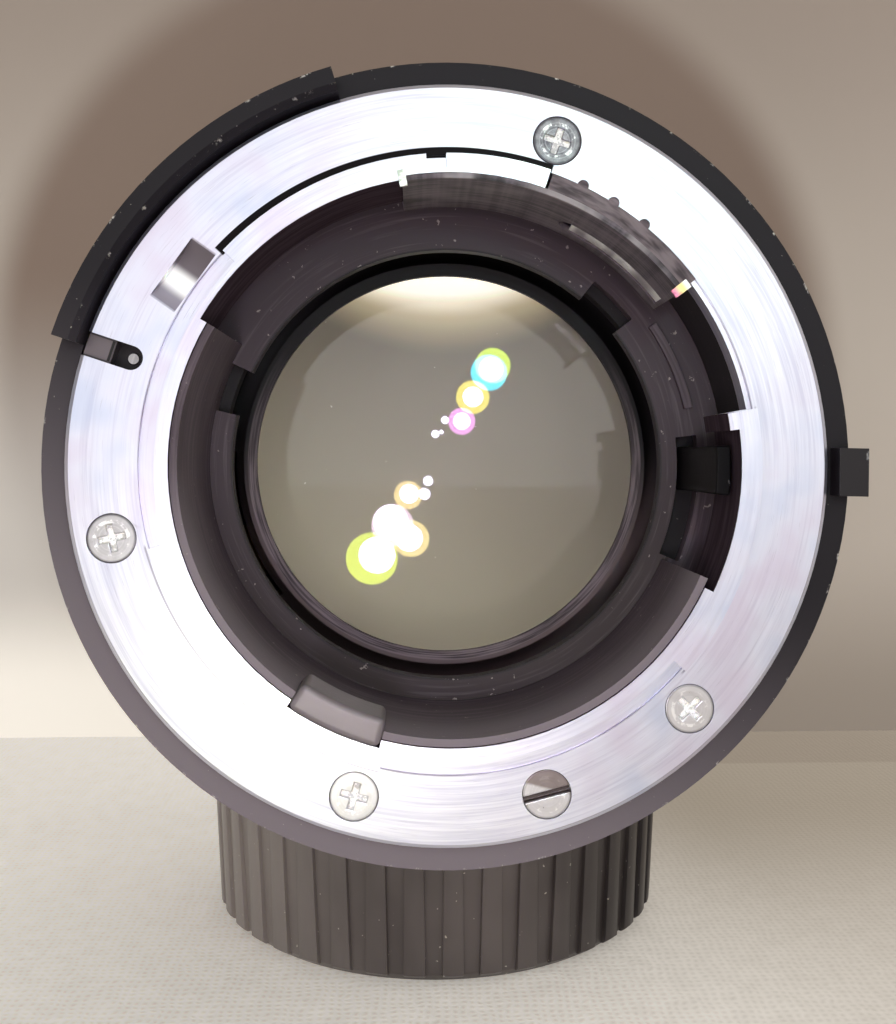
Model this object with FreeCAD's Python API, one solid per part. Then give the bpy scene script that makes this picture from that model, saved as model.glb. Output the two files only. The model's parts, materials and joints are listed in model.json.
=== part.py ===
import FreeCAD, Part
import math
import os

from FreeCAD import Vector

# Telephoto prime lens, lying level on its own rear cap.
# The origin is the centre of the bayonet's seating face. +Y runs forward along the optical axis, +Z is up.
# Angles count from +X towards +Z, as seen from behind the lens. All sizes are in millimetres.
# The lens lies rolled over, so the scales' index is at index_angle and not at the top.

# Clearances
fit_gap = 0.03          # between curved seats of pieces that stay together
running_gap = 0.1       # radial, between a turning or sliding ring and its bearing
face_gap = 0.3          # between faces that pass each other
pin_gap = 0.08          # round the iris pins
margin = 1.0        # how far a cutting body reaches past what it cuts

# Mount. The tube's radius drives all the others, each by a width, wall or step of its own.
tube_radius = 21.95
tube_wall = 1.05
tube_length = 4.7
flange_width = 8.08
flange_thickness = 2.0
flange_bevel = 0.35
lug_height = 1.2
lug_thickness = 1.4
lug_spans = ((-41.5, 10.5), (71.5, 137.0), (195.5, 256.5))
relief_width = 2.35         # from the tube to the seating face
relief_depth = 0.25
index_angle = 71.6
lug_notch_angle = 93.0
lug_notch_width = 1.5
lug_notch_depth = 1.1

# Openings of the mount for the levers
opening_start = 10.5
guard_start = 37.0
guard_lug_start = 71.5
guard_end = 100.0
opening_clearance = 0.75    # beyond the lugs
guard_opening_step = 0.45
bare_tube_end = 150.0
bare_tube_wall = 0.5
lever_relief_span = (-26.0, 7.0)
lever_relief_wall = 0.35
post_span = (235.5, 255.5)
post_relief_wall = 0.45

# Lock-pin slot and lens-type scoop
slot_angle = 161.6
slot_width = 1.9
slot_length = 3.83
slot_depth = 0.8
slot_hole_length = 1.6
scoop_angle = 144.65
scoop_inner_inset = 5.63
scoop_outer_inset = 3.33
scoop_half_width = 2.8
scoop_depth = 0.95

# Mount screws
screw_circle_inset = 0.29   # from the middle of the flange's plain width
screw_head_radius = 1.92
screw_head_depth = 1.1
screw_shank_radius = 0.95
screw_length = 6.0
cross_screw_angles = (71.7, 192.3, 253.8, 314.4)
slotted_screw_angle = 286.3
slotted_screw_tilt = 14.0
drive_width = 0.5
drive_depth = 0.55
drive_length = 2.1

# Carrier behind the flange
carrier_step = 0.53
carrier_length = 12.0

# Lever guard
guard_offset = 0.4          # outside the tube's bore
guard_wall = 0.4
guard_foot_back = 4.0
guard_foot_thickness = 0.6
guard_slot_back = 0.1
guard_slot_width = 2.4
guard_slot_end = 62.5
guard_rim_thickness = 0.35
guard_bump_angles = (51.0, 58.0, 64.5)
guard_bump_radius = 0.45

# Rear light baffle
baffle_back = 8.0
baffle_thickness = 1.2
baffle_width = 2.5          # inside the tube's bore
sleeve_wall = 0.6
sleeve_setback = 0.25
sleeve_span = (150.0, 336.0)
lever_slot_span = (-23.0, 6.5)
lever_slot_inset = 1.0
lever_slot_width = 1.8
spanner_notch_spans = ((38.0, 51.0), (155.0, 167.0))
spanner_notch_depth = 1.9
bead_span = (13.0, 34.0)
bead_offset = 0.1
bead_width = 0.7
bead_height = 0.5

# Speed-index post
post_inset = 1.6
post_back = 5.0
post_length = 4.4

# Stop-down ring, lever and fork
lever_ring_inset = 1.5
lever_ring_thickness = 1.6
lever_inset = 0.7
lever_wall = 1.1
lever_span = (-6.5, 4.0)
lever_reach = 3.0
lever_base_depth = 0.8
retainer_width = 1.5
retainer_thickness = 1.0
arm_angle = 205.0
arm_half_angle = 7.0
arm_gap_angle = 0.6
prong_angle = 5.0
arm_inset = 0.6
arm_wall = 0.8
fork_engagement = 2.6

# Aperture ring
aperture_wall = 2.5
aperture_setback = 1.2
number_band_step = 0.5
rear_band_width = 1.9
knurl_band_width = 5.4
knurl_count = 60
knurl_radius = 1.0
knurl_depth = 0.32
ridge_span = (106.8, 162.0)
ridge_reach = 1.4
ridge_bevel = 0.5
aperture_turn = 49.0
click_count = 8
click_angle = 250.0
click_step = 7.0
click_notch_radius = 0.7
click_track_depth = 0.35
click_track_width = 2.0
click_offset = 6.0          # from the ring's rear face
ball_radius = 0.7
spring_radius = 0.55
spring_length = 3.0

# Servo post on the aperture ring
servo_angle = -1.15
servo_width = 3.8
servo_inset = 1.5
servo_overhang = 0.85
servo_height = 1.9
servo_rivet_radius = 0.5
servo_rivet_length = 1.5

# Fixed barrel and depth-of-field ring
fixed_barrel_length = 36.0
fixed_bore_step = 1.7       # wider than the carrier's bore
fixed_barrel_wall = 1.8
scale_ring_step = 0.1
scale_ring_width = 5.8
scale_ring_bevel = 0.7
index_line_width = 0.5
index_line_depth = 0.15

# Focusing
focus_travel = 15.7
sleeve_wall_radial = 1.4
skirt_step = 0.65
skirt_width = 11.3
focus_wall = 1.67
grip_width = 23.5
grip_thickness = 1.62
grip_rib_count = 48
grip_groove_width = 1.3
grip_groove_depth = 0.75
grip_band_count = 4
grip_band_width = 1.0
grip_band_depth = 0.6
focus_front_width = 5.5
focus_front_step = 1.05
focus_bevel = 0.5
lip_thickness = 2.0
helicoid_back_gap = 1.7
lock_ring_width = 1.7
grub_angles = (20.0, 140.0, 260.0)
grub_radius = 0.9
grub_offset = 6.0           # from the grip's rear edge

# Guide keys
key_angles = (20.0, 200.0)
key_width = 3.0
key_height = 1.1
key_length = 16.0
key_setback = 4.0           # from the fixed barrel's front end
key_screw_radius = 0.6
key_screw_head_radius = 1.1
key_screw_head_height = 0.8
key_screw_bite = 0.8

# Inner barrel
inner_barrel_back = 17.0
cell_shoulder = 1.0         # thickness of the front cell's step
inner_barrel_wall = 1.5

# Front barrel and filter thread
front_barrel_width = 4.2    # outside the filter thread
front_barrel_wall = 1.4
front_barrel_setback = 1.0
web_thickness = 2.0
front_web_thickness = 2.2
filter_thread_step = 0.1
thread_wall = 1.1
thread_length = 4.4
thread_seat_step = 0.37
cell_seat_length = 10.1

# Sliding hood
hood_play = 0.35
hood_wall = 1.35
hood_length = 30.3
hood_back_gap = 0.8
hood_travel = 20.0
hood_lip_width = 1.2
hood_lip_height = 0.8
hood_groove_depth = 0.3
hood_groove_width = 0.8
hood_groove_offset = 4.0
felt_width = 4.0
felt_thickness = 0.25
felt_offset = 1.0

# Glass: widths of the cells round it, surface radii and places
front_cell_wall = 1.1
front_glass_edge = 1.8
front_glass_curve = 60.0
front_glass_back_curve = 240.0
second_cell_wall = 1.57
second_glass_curve = 44.0
second_glass_back_curve = 75.0
second_glass_middle = 6.0
glass_air = 0.6
third_cell_wall = 4.97
third_glass_curve = 150.0
third_glass_hollow = 24.0
third_glass_rim = 4.5
third_glass_middle = 3.0
third_glass_setback = 1.0   # behind the focus ring's front end
rear_glass_inset = 0.9      # inside the baffle's bore
rear_glass_lip = 0.4
rear_glass_curve = 150.0
rear_glass_edge_back = 14.0
rear_glass_edge = 1.6
cement_curve = 40.0
cement_gap = 0.02
rear_inner_edge = 4.0
rear_inner_curve = 150.0

# Cells
cell_lip = 0.8
cell_lip_thickness = 1.2
spacer_wall = 1.1
name_ring_slope = 1.6
retaining_thickness = 1.4
middle_cell_front_gap = 2.1
middle_ring_width = 1.87
rear_cell_wall = 0.7
rear_cell_lip_thickness = 0.6
rear_flange_back = 20.0
rear_flange_thickness = 2.0
fork_window_margin = 1.5

# Iris
iris_setback = 15.4         # of the cam ring's front face, behind the focus ring's front end
blade_reach = 9.0           # from the pivots to the open iris
iris_small_radius = 1.1
blade_count = 7
blade_thickness = 0.12
blade_pitch = 0.175
blade_start_gap = 0.05
blade_inner_margin = 0.3
blade_outer_inset = 1.4
blade_head_angle = -3.0
blade_tail_angle = 118.0
pivot_inset = 1.37
blade_ear_radius = 1.2
pin_radius = 0.5
cam_pin_inset = 0.3
cam_pin_angle = 14.0
cam_turn = 14.0
cam_ring_thickness = 1.0
cam_ring_width = 8.17
cam_slot_steps = 6
iris_plate_thickness = 1.0
iris_stack_gap = 0.08
iris_wall = 1.2
iris_ring_width = 1.2
iris_ring_thickness = 0.9
first_blade_angle = 168.0

# Rear cap, taken off and standing under the lens
cap_base_inset = 2.73       # inside the flange's rim
cap_flare = 1.3
cap_height = 23.2
cap_wall = 1.5
cap_floor = 1.6
cap_rib_count = 60
cap_rib_depth = 0.55
cap_rib_share = 0.62        # of the pitch
cap_flank_share = 0.1       # of the pitch
cap_rim_height = 1.6
cap_base_bevel = 1.2
cap_tab_spans = ((10.0, 60.0), (130.0, 180.0), (250.0, 300.0))
cap_tab_height = 1.6
cap_tab_depth = 2.2         # below the rim
cap_tab_reach = 2.9

# Directions and the optical axis
origin = Vector(0, 0, 0)
forward = Vector(0, 1, 0)
backward = Vector(0, -1, 0)
upward = Vector(0, 0, 1)
outward = Vector(1, 0, 0)
full_turn = 360.0

# Places along the axis, worked out from the sizes above
carrier_back = flange_thickness
carrier_front = carrier_back + carrier_length
baffle_front = baffle_back + baffle_thickness
lever_ring_back = baffle_front + face_gap
lever_ring_front = lever_ring_back + lever_ring_thickness
retainer_back = lever_ring_front + face_gap
aperture_front = carrier_front - face_gap
scale_ring_front = carrier_front + scale_ring_width
fixed_barrel_front = carrier_front + fixed_barrel_length
focus_back = scale_ring_front + face_gap
grip_back = focus_back + skirt_width
grip_front = grip_back + grip_width
focus_front = grip_front + focus_front_width
lip_back = focus_front - lip_thickness
lock_ring_front = lip_back - face_gap
lock_ring_back = lock_ring_front - lock_ring_width
helicoid_back = focus_back + helicoid_back_gap
front_barrel_back = focus_front + face_gap
hood_back = focus_front + hood_back_gap
hood_front = hood_back + hood_length
front_barrel_front = hood_front - front_barrel_setback
thread_back = front_barrel_front - thread_length
third_glass_edge_front = focus_front - third_glass_setback
iris_plane = focus_front - iris_setback
key_front = fixed_barrel_front - key_setback
key_back = key_front - key_length

# Radii of the mount, from the tube outwards and inwards
tube_bore_radius = tube_radius - tube_wall
lug_radius = tube_radius + lug_height
flange_radius = tube_radius + flange_width
relief_radius = tube_radius + relief_width
carrier_bore_radius = lug_radius + opening_clearance
carrier_radius = flange_radius - carrier_step
guard_opening_radius = carrier_bore_radius + guard_opening_step
bare_tube_radius = tube_radius - bare_tube_wall
lever_relief_radius = tube_radius - lever_relief_wall
post_relief_radius = tube_radius - post_relief_wall
slot_inner_radius = flange_radius - slot_length
scoop_inner_radius = flange_radius - scoop_inner_inset
scoop_outer_radius = flange_radius - scoop_outer_inset
screw_circle_radius = (guard_opening_radius + flange_radius) / 2 - screw_circle_inset
guard_inner_radius = tube_bore_radius + guard_offset
guard_outer_radius = guard_inner_radius + guard_wall
baffle_bore_radius = tube_bore_radius - baffle_width
lever_slot_inner_radius = tube_bore_radius - lever_slot_inset
lever_slot_outer_radius = lever_slot_inner_radius + lever_slot_width
spanner_notch_radius = baffle_bore_radius + spanner_notch_depth
bead_inner_radius = tube_bore_radius + bead_offset
post_inner_radius = tube_bore_radius - post_inset
lever_ring_bore_radius = tube_bore_radius - lever_ring_inset
lever_ring_radius = carrier_bore_radius - running_gap
lever_inner_radius = tube_bore_radius - lever_inset
arm_inner_radius = tube_bore_radius - arm_inset

# Radii of the rings and barrels
aperture_radius = carrier_radius + running_gap + aperture_wall
number_band_radius = aperture_radius - number_band_step
servo_inner_radius = aperture_radius - servo_inset
servo_outer_radius = aperture_radius + servo_overhang
scale_ring_radius = number_band_radius - scale_ring_step
fixed_bore_radius = carrier_bore_radius + fixed_bore_step
helicoid_radius = fixed_bore_radius + fixed_barrel_wall
sleeve_bore = helicoid_radius + running_gap
sleeve_radius = sleeve_bore + sleeve_wall_radial
focus_bore = sleeve_radius + fit_gap
grip_seat_radius = focus_bore + focus_wall
grip_radius = grip_seat_radius + fit_gap + grip_thickness
skirt_radius = grip_radius - skirt_step
focus_front_radius = grip_radius - focus_front_step
inner_barrel_radius = fixed_bore_radius - running_gap
inner_bore_radius = inner_barrel_radius - inner_barrel_wall
cell_radius = inner_bore_radius - fit_gap
filter_thread_radius = inner_barrel_radius + filter_thread_step
front_barrel_radius = filter_thread_radius + front_barrel_width
hood_bore = front_barrel_radius + hood_play
hood_radius = hood_bore + hood_wall
front_seat_radius = filter_thread_radius - thread_seat_step
front_cell_radius = front_seat_radius - fit_gap

# Radii of the glass, the iris and the cap
front_glass_radius = front_cell_radius - front_cell_wall
second_glass_radius = cell_radius - second_cell_wall
third_glass_radius = cell_radius - third_cell_wall
third_glass_hollow_radius = third_glass_radius - third_glass_rim
rear_glass_radius = baffle_bore_radius - rear_glass_inset
rear_glass_clear_radius = rear_glass_radius - rear_glass_lip
iris_cavity_radius = cell_radius - iris_wall
cam_ring_radius = iris_cavity_radius - running_gap
cam_ring_bore_radius = cam_ring_radius - cam_ring_width
pivot_radius = cam_ring_radius - pivot_inset
cam_pin_radius = pivot_radius - cam_pin_inset
blade_outer_radius = pivot_radius - blade_outer_inset
iris_open_radius = pivot_radius - blade_reach
blade_inner_radius = iris_open_radius + blade_inner_margin
blade_swing = 2 * math.degrees(math.asin((blade_inner_radius - iris_small_radius) / (2 * pivot_radius)))
cap_base_radius = flange_radius - cap_base_inset
cap_rim_radius = cap_base_radius + cap_flare
cam_ring_back = iris_plane - iris_stack_gap - cam_ring_thickness
plate_back = iris_plane + blade_start_gap + blade_count * blade_pitch + iris_stack_gap


# Shape helpers

def turned(outline, start=0.0, end=full_turn):
    """A closed outline of (radius, y) points, turned about the optical axis."""
    points = [Vector(radius, y, 0) for radius, y in outline]
    face = Part.Face(Part.makePolygon(points + points[:1]))
    solid = face.revolve(origin, backward, end - start)
    solid.rotate(origin, backward, start)
    return solid


def ring(inner, outer, back, front):
    return turned([(inner, back), (outer, back), (outer, front), (inner, front)])


def sector(inner, outer, back, front, start, end):
    return turned([(inner, back), (outer, back), (outer, front), (inner, front)], start, end)


def at_angle(shape, angle):
    copy = shape.copy()
    copy.rotate(origin, backward, angle)
    return copy


def rod(radius, back, front, distance, angle):
    """A round bar along the axis, at a distance from it."""
    bar = Part.makeCylinder(radius, front - back, Vector(distance, back, 0), forward)
    return at_angle(bar, angle)


def radial_rod(radius, inner, outer, y, angle):
    bar = Part.makeCylinder(radius, outer - inner, Vector(inner, y, 0), outward)
    return at_angle(bar, angle)


def block(inner, outer, back, front, width, angle):
    box = Part.makeBox(outer - inner, front - back, width, Vector(inner, back, -width / 2))
    return at_angle(box, angle)


def fuse(shapes):
    return shapes[0].multiFuse(shapes[1:]).removeSplitter()


def arc_sag(curve, radius):
    return curve - math.sqrt(curve ** 2 - radius ** 2)


def polar(radius, angle, y):
    """A point at a radius and an angle about the optical axis."""
    turn = math.radians(angle)
    return Vector(radius * math.cos(turn), y, radius * math.sin(turn))


def glass(radius, back_edge, back_sag, front_edge, front_sag, hollow_radius=0.0):
    """A lens element. A positive sag lies outwards of its edge, a negative one is hollow."""
    edges = []
    back_start = hollow_radius or radius
    back_middle = Vector(0, back_edge - back_sag, 0)
    front_middle = Vector(0, front_edge + front_sag, 0)
    edges.append(arc_edge(back_middle, Vector(back_start, back_edge, 0)))
    if hollow_radius:
        edges.append(Part.makeLine(Vector(back_start, back_edge, 0), Vector(radius, back_edge, 0)))
    edges.append(Part.makeLine(Vector(radius, back_edge, 0), Vector(radius, front_edge, 0)))
    edges.append(arc_edge(front_middle, Vector(radius, front_edge, 0)))
    edges.append(Part.makeLine(front_middle, back_middle))
    face = Part.Face(Part.Wire(Part.__sortEdges__(edges)))
    return face.revolve(origin, backward, full_turn)


def arc_edge(middle, rim):
    """The half section of a spherical face from its middle on the axis to its rim."""
    sag = rim.y - middle.y
    curve = (rim.x ** 2 + sag ** 2) / (2 * abs(sag))
    half = math.asin(rim.x / curve) / 2
    side = math.copysign(1.0, sag)
    between = Vector(curve * math.sin(half), middle.y + side * curve * (1 - math.cos(half)), 0)
    return Part.Arc(middle, between, rim).toShape()


# Mount

def mount_flange():
    seat = [
        (tube_bore_radius, -tube_length),
        (tube_radius, -tube_length),
        (tube_radius, relief_depth),
        (relief_radius, relief_depth),
        (relief_radius, 0),
        (flange_radius - flange_bevel, 0),
        (flange_radius, flange_bevel),
        (flange_radius, flange_thickness),
        (tube_bore_radius, flange_thickness),
    ]
    lugs = [
        sector(tube_bore_radius, lug_radius, -tube_length, lug_thickness - tube_length, start, end)
        for start, end in lug_spans
    ]
    flange = fuse([turned(seat)] + lugs)
    back = -tube_length - margin
    front = flange_thickness + margin
    core = tube_bore_radius - margin
    guard_seat = guard_outer_radius + fit_gap
    cuts = [
        sector(core, carrier_bore_radius, back, front, opening_start, guard_start - fit_gap),
        sector(core, guard_opening_radius, back, front, guard_start - 2 * fit_gap, guard_lug_start),
        sector(core, guard_seat, back, front, guard_lug_start - margin, guard_end),
        sector(core, bare_tube_radius, back, front, guard_end, bare_tube_end),
        sector(core, lever_relief_radius, back, front, *lever_relief_span),
        sector(core, post_relief_radius, back, 0, *post_span),
        block(lug_radius - lug_notch_depth, lug_radius + margin, back, lug_thickness - tube_length,
              lug_notch_width, lug_notch_angle),
        lock_slot_cut(),
        scoop_cut(),
    ]
    for angle in guard_bump_angles:
        cuts.append(rod(guard_bump_radius + fit_gap, back, front, guard_opening_radius, angle))
    for angle in cross_screw_angles + (slotted_screw_angle,):
        cuts.append(screw_hole(angle))
    return flange.cut(cuts).removeSplitter()


def lock_slot_cut():
    """The shallow slot that guides the camera's locking pin, and the deeper hole that it drops into."""
    outer = flange_radius + margin
    groove = block(slot_inner_radius, outer, -margin, slot_depth, slot_width, slot_angle)
    hole = block(slot_inner_radius, slot_inner_radius + slot_hole_length, -margin,
                 flange_thickness + margin, slot_width, slot_angle)
    tip = rod(slot_width / 2, -margin, flange_thickness + margin, slot_inner_radius, slot_angle)
    return fuse([groove, hole, tip])


def scoop_cut():
    curve = (scoop_half_width ** 2 + scoop_depth ** 2) / (2 * scoop_depth)
    return radial_rod(curve, scoop_inner_radius, scoop_outer_radius, scoop_depth - curve, scoop_angle)


def screw_outline(gap):
    """Half section of a mount screw, with its flat face flush with the seating face."""
    head = screw_head_radius + gap
    shank = screw_shank_radius + gap
    return [
        (0, 0),
        (head, 0),
        (head, screw_head_depth / 2),
        (shank, screw_head_depth),
        (shank, screw_length),
        (0, screw_length),
    ]


def screw_body(gap, start=0.0):
    points = [Vector(radius, y, 0) for radius, y in screw_outline(gap)]
    face = Part.Face(Part.makePolygon(points + points[:1]))
    body = face.revolve(origin, forward, full_turn)
    if start:
        body = body.fuse(Part.makeCylinder(screw_head_radius + gap, start, Vector(0, -start, 0), forward))
    return body


def at_screw(shape, angle):
    copy = shape.copy()
    copy.translate(Vector(screw_circle_radius, 0, 0))
    return at_angle(copy, angle)


def screw_hole(angle):
    return at_screw(screw_body(fit_gap, margin), angle)


def mount_cross_screws():
    long_slot = Part.makeBox(drive_length, drive_depth, drive_width,
                             Vector(-drive_length / 2, 0, -drive_width / 2))
    cross = long_slot.fuse(long_slot.rotated(origin, forward, full_turn / 4))
    screw = screw_body(0).cut(cross)
    return Part.Compound([at_screw(screw, angle) for angle in cross_screw_angles])


def mount_slotted_screw():
    length = 2 * (screw_head_radius + margin)
    slot = Part.makeBox(length, drive_depth, drive_width, Vector(-length / 2, 0, -drive_width / 2))
    slot.rotate(origin, backward, slotted_screw_tilt - slotted_screw_angle)
    return at_screw(screw_body(0).cut(slot), slotted_screw_angle)


def mount_carrier():
    body = ring(carrier_bore_radius, carrier_radius, carrier_back, carrier_front)
    cuts = [screw_hole(angle) for angle in cross_screw_angles + (slotted_screw_angle,)]
    y = aperture_setback + click_offset
    floor = carrier_radius - ball_radius - spring_length
    cuts.append(radial_rod(ball_radius + fit_gap, floor, carrier_radius + margin, y, click_angle))
    return body.cut(cuts)


def lever_guard():
    """The thin fence inside the mount, with its slot, its rim and three bumps on the rim."""
    lug_front = lug_thickness - tube_length
    foot_front = guard_foot_back + guard_foot_thickness
    foot_radius = carrier_bore_radius - fit_gap
    wall = sector(guard_inner_radius, guard_outer_radius, -tube_length, foot_front, guard_start, guard_end)
    foot = sector(guard_inner_radius, foot_radius, guard_foot_back, foot_front, guard_start, guard_end)
    rim_radius = guard_opening_radius - fit_gap
    rim_end = guard_lug_start - margin
    rim = sector(guard_inner_radius, rim_radius, 0, guard_rim_thickness, guard_start, rim_end)
    bumps = [rod(guard_bump_radius, 0, guard_rim_thickness, rim_radius, a) for a in guard_bump_angles]
    slot_back = guard_slot_back + guard_rim_thickness
    slot_front = slot_back + guard_slot_width
    middle = (slot_back + slot_front) / 2
    slot_start = guard_start + 2 * fit_gap + margin
    inner = guard_inner_radius - margin
    outer = guard_outer_radius + margin
    slot = sector(inner, outer, slot_back, slot_front, slot_start, guard_slot_end)
    slot_end = radial_rod(guard_slot_width / 2, inner, outer, middle, guard_slot_end)
    return fuse([wall, foot, rim] + bumps).cut([slot, slot_end])


def rear_light_baffle():
    plate = ring(baffle_bore_radius, carrier_bore_radius - fit_gap, baffle_back, baffle_front)
    sleeve_outer = tube_bore_radius - fit_gap
    sleeve_inner = sleeve_outer - sleeve_wall
    sleeve_back = sleeve_setback - tube_length
    bead_outer = bead_inner_radius + bead_width
    bead_back = baffle_back - bead_height
    sleeve = sector(sleeve_inner, sleeve_outer, sleeve_back, baffle_front, *sleeve_span)
    bead = sector(bead_inner_radius, bead_outer, bead_back, baffle_front, *bead_span)
    back = baffle_back - margin
    front = baffle_front + margin
    post_front = post_length - post_back + fit_gap
    post_inner = post_inner_radius - fit_gap
    cuts = [
        sector(lever_slot_inner_radius, lever_slot_outer_radius, back, front, *lever_slot_span),
        sector(post_inner, sleeve_outer + margin, -tube_length - margin, post_front, *post_span),
    ]
    for start, end in spanner_notch_spans:
        cuts.append(sector(baffle_bore_radius - margin, spanner_notch_radius, back, front, start, end))
    return fuse([plate, sleeve, bead]).cut(cuts)


def speed_index_post():
    start, end = post_span
    edge = math.degrees(fit_gap / post_inner_radius)
    return sector(post_inner_radius, post_relief_radius - fit_gap, -post_back, post_length - post_back,
                  start + edge, end - edge)


# Stop-down ring with its lever and the fork that drives the iris

def stop_down_ring():
    body = ring(lever_ring_bore_radius, lever_ring_radius, lever_ring_back, lever_ring_front)
    reach = cam_arm_back() + focus_travel + fork_engagement
    arm_outer = arm_inner_radius + arm_wall
    near = arm_half_angle + arm_gap_angle
    far = near + prong_angle
    prongs = [
        sector(arm_inner_radius, arm_outer, lever_ring_back, reach, arm_angle + near, arm_angle + far),
        sector(arm_inner_radius, arm_outer, lever_ring_back, reach, arm_angle - far, arm_angle - near),
    ]
    pocket = sector(lever_inner_radius - fit_gap, lever_inner_radius + lever_wall + fit_gap,
                    lever_ring_back - margin, lever_ring_back + lever_base_depth, *lever_span)
    return fuse([body] + prongs).cut(pocket)


def stop_down_lever():
    edge = math.degrees(fit_gap / lever_inner_radius)
    start, end = lever_span
    return sector(lever_inner_radius, lever_inner_radius + lever_wall, -lever_reach,
                  lever_ring_back + lever_base_depth, start + edge, end - edge)


def lever_ring_retainer():
    outer = carrier_bore_radius - fit_gap
    return ring(outer - retainer_width, outer, retainer_back, retainer_back + retainer_thickness)


# Aperture ring

def aperture_ring():
    bore = carrier_radius + running_gap
    collar_bore = flange_radius + face_gap
    collar_front = flange_thickness + face_gap
    knurl_back = aperture_setback + rear_band_width
    knurl_front = knurl_back + knurl_band_width
    outline = [
        (collar_bore, aperture_setback),
        (aperture_radius, aperture_setback),
        (aperture_radius, knurl_front),
        (number_band_radius, knurl_front + aperture_radius - number_band_radius),
        (number_band_radius, aperture_front),
        (bore, aperture_front),
        (bore, collar_front),
        (collar_bore, collar_front),
    ]
    ridge = turned([
        (collar_bore, ridge_bevel - ridge_reach),
        (collar_bore + ridge_bevel, -ridge_reach),
        (aperture_radius, -ridge_reach),
        (aperture_radius, aperture_setback + margin),
        (collar_bore, aperture_setback + margin),
    ], *ridge_span)
    body = fuse([turned(outline), ridge])
    scallop_distance = aperture_radius - knurl_depth + knurl_radius
    cuts = [rod(knurl_radius, knurl_back, knurl_front, scallop_distance, full_turn * k / knurl_count)
            for k in range(knurl_count)]
    y = aperture_setback + click_offset
    half = click_track_width / 2
    track_start = click_angle - click_step
    track_end = click_angle + aperture_turn + click_step
    floor = bore + click_track_depth
    cuts.append(sector(bore - margin, floor, y - half, y + half, track_start, track_end))
    for k in range(click_count):
        cuts.append(rod(click_notch_radius, y - half, y + half, floor, click_angle + k * click_step))
    cuts.append(rod(servo_rivet_radius + fit_gap, aperture_setback - margin,
                    aperture_setback + servo_rivet_length + fit_gap, servo_rivet_distance(), servo_angle))
    return body.cut(cuts)


def servo_rivet_distance():
    return (flange_radius + face_gap + aperture_radius) / 2


def servo_post():
    back = aperture_setback - servo_height
    front = aperture_setback + servo_rivet_length
    top = block(servo_inner_radius, servo_outer_radius, back, aperture_setback, servo_width, servo_angle)
    rivet = rod(servo_rivet_radius, back + servo_height / 2, front, servo_rivet_distance(), servo_angle)
    return fuse([top, rivet])


def click_ball():
    ball = Part.makeSphere(ball_radius, Vector(carrier_radius + click_track_depth - ball_radius,
                                               aperture_setback + click_offset, 0))
    return at_angle(ball, click_angle)


def click_spring():
    """The short spring under the ball, as the plain cylinder that it fills."""
    foot = carrier_radius - ball_radius - spring_length
    top = carrier_radius + click_track_depth - 2 * ball_radius
    return radial_rod(spring_radius, foot, top, aperture_setback + click_offset, click_angle)


# Fixed barrel

def fixed_barrel():
    outline = [
        (fixed_bore_radius, carrier_front),
        (carrier_radius, carrier_front),
        (carrier_radius, scale_ring_front),
        (helicoid_radius, scale_ring_front),
        (helicoid_radius, fixed_barrel_front),
        (fixed_bore_radius, fixed_barrel_front),
    ]
    cuts = []
    for angle in key_angles:
        for y in key_screw_places():
            cuts.append(key_screw(y, angle, fit_gap))
    return turned(outline).cut(cuts)


def depth_scale_ring():
    """The bright ring between the two scales, with the index line engraved across it."""
    bore = carrier_radius + fit_gap
    body = turned([
        (bore, carrier_front),
        (scale_ring_radius - scale_ring_bevel, carrier_front),
        (scale_ring_radius, carrier_front + scale_ring_bevel),
        (scale_ring_radius, scale_ring_front - scale_ring_bevel),
        (scale_ring_radius - scale_ring_bevel, scale_ring_front),
        (bore, scale_ring_front),
    ])
    floor = scale_ring_radius - index_line_depth
    outer = scale_ring_radius + margin
    line = block(floor, outer, carrier_front, scale_ring_front, index_line_width, index_angle)
    return body.cut(line)


def guide_keys():
    reach = math.sqrt((fixed_bore_radius - fit_gap) ** 2 - (key_width / 2) ** 2)
    keys = []
    for angle in key_angles:
        bar = block(reach - key_height, reach, key_back, key_front, key_width, angle)
        keys.append(bar.cut([key_screw(y, angle, fit_gap) for y in key_screw_places()]))
    return Part.Compound(keys)


def key_screw_places():
    quarter = key_length / 4
    return (key_back + quarter, key_front - quarter)


def key_screw(y, angle, gap):
    shank_inner = fixed_bore_radius - key_screw_bite - gap
    head_inner = helicoid_radius - running_gap - key_screw_head_height
    head_outer = helicoid_radius - running_gap + (margin if gap else 0)
    shank = radial_rod(key_screw_radius + gap, shank_inner, head_inner + gap, y, angle)
    head = radial_rod(key_screw_head_radius + gap, head_inner - gap, head_outer, y, angle)
    return fuse([shank, head])


def guide_key_screws():
    return Part.Compound([key_screw(y, angle, 0) for angle in key_angles for y in key_screw_places()])


# Focusing

def helicoid_sleeve():
    lip_bore = inner_barrel_radius + running_gap
    return turned([
        (sleeve_bore, helicoid_back),
        (sleeve_radius, helicoid_back),
        (sleeve_radius, focus_front),
        (lip_bore, focus_front),
        (lip_bore, lip_back),
        (sleeve_bore, lip_back),
    ]).cut([grub_screw(angle, fit_gap) for angle in grub_angles])


def focus_ring():
    body = turned([
        (focus_bore, focus_back),
        (skirt_radius - focus_bevel, focus_back),
        (skirt_radius, focus_back + focus_bevel),
        (skirt_radius, grip_back - face_gap),
        (grip_seat_radius, grip_back - face_gap),
        (grip_seat_radius, grip_front + face_gap),
        (focus_front_radius, grip_front + face_gap),
        (focus_front_radius, focus_front - focus_bevel),
        (focus_front_radius - focus_bevel, focus_front),
        (focus_bore, focus_front),
    ])
    return body.cut([grub_screw(angle, fit_gap) for angle in grub_angles])


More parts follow.
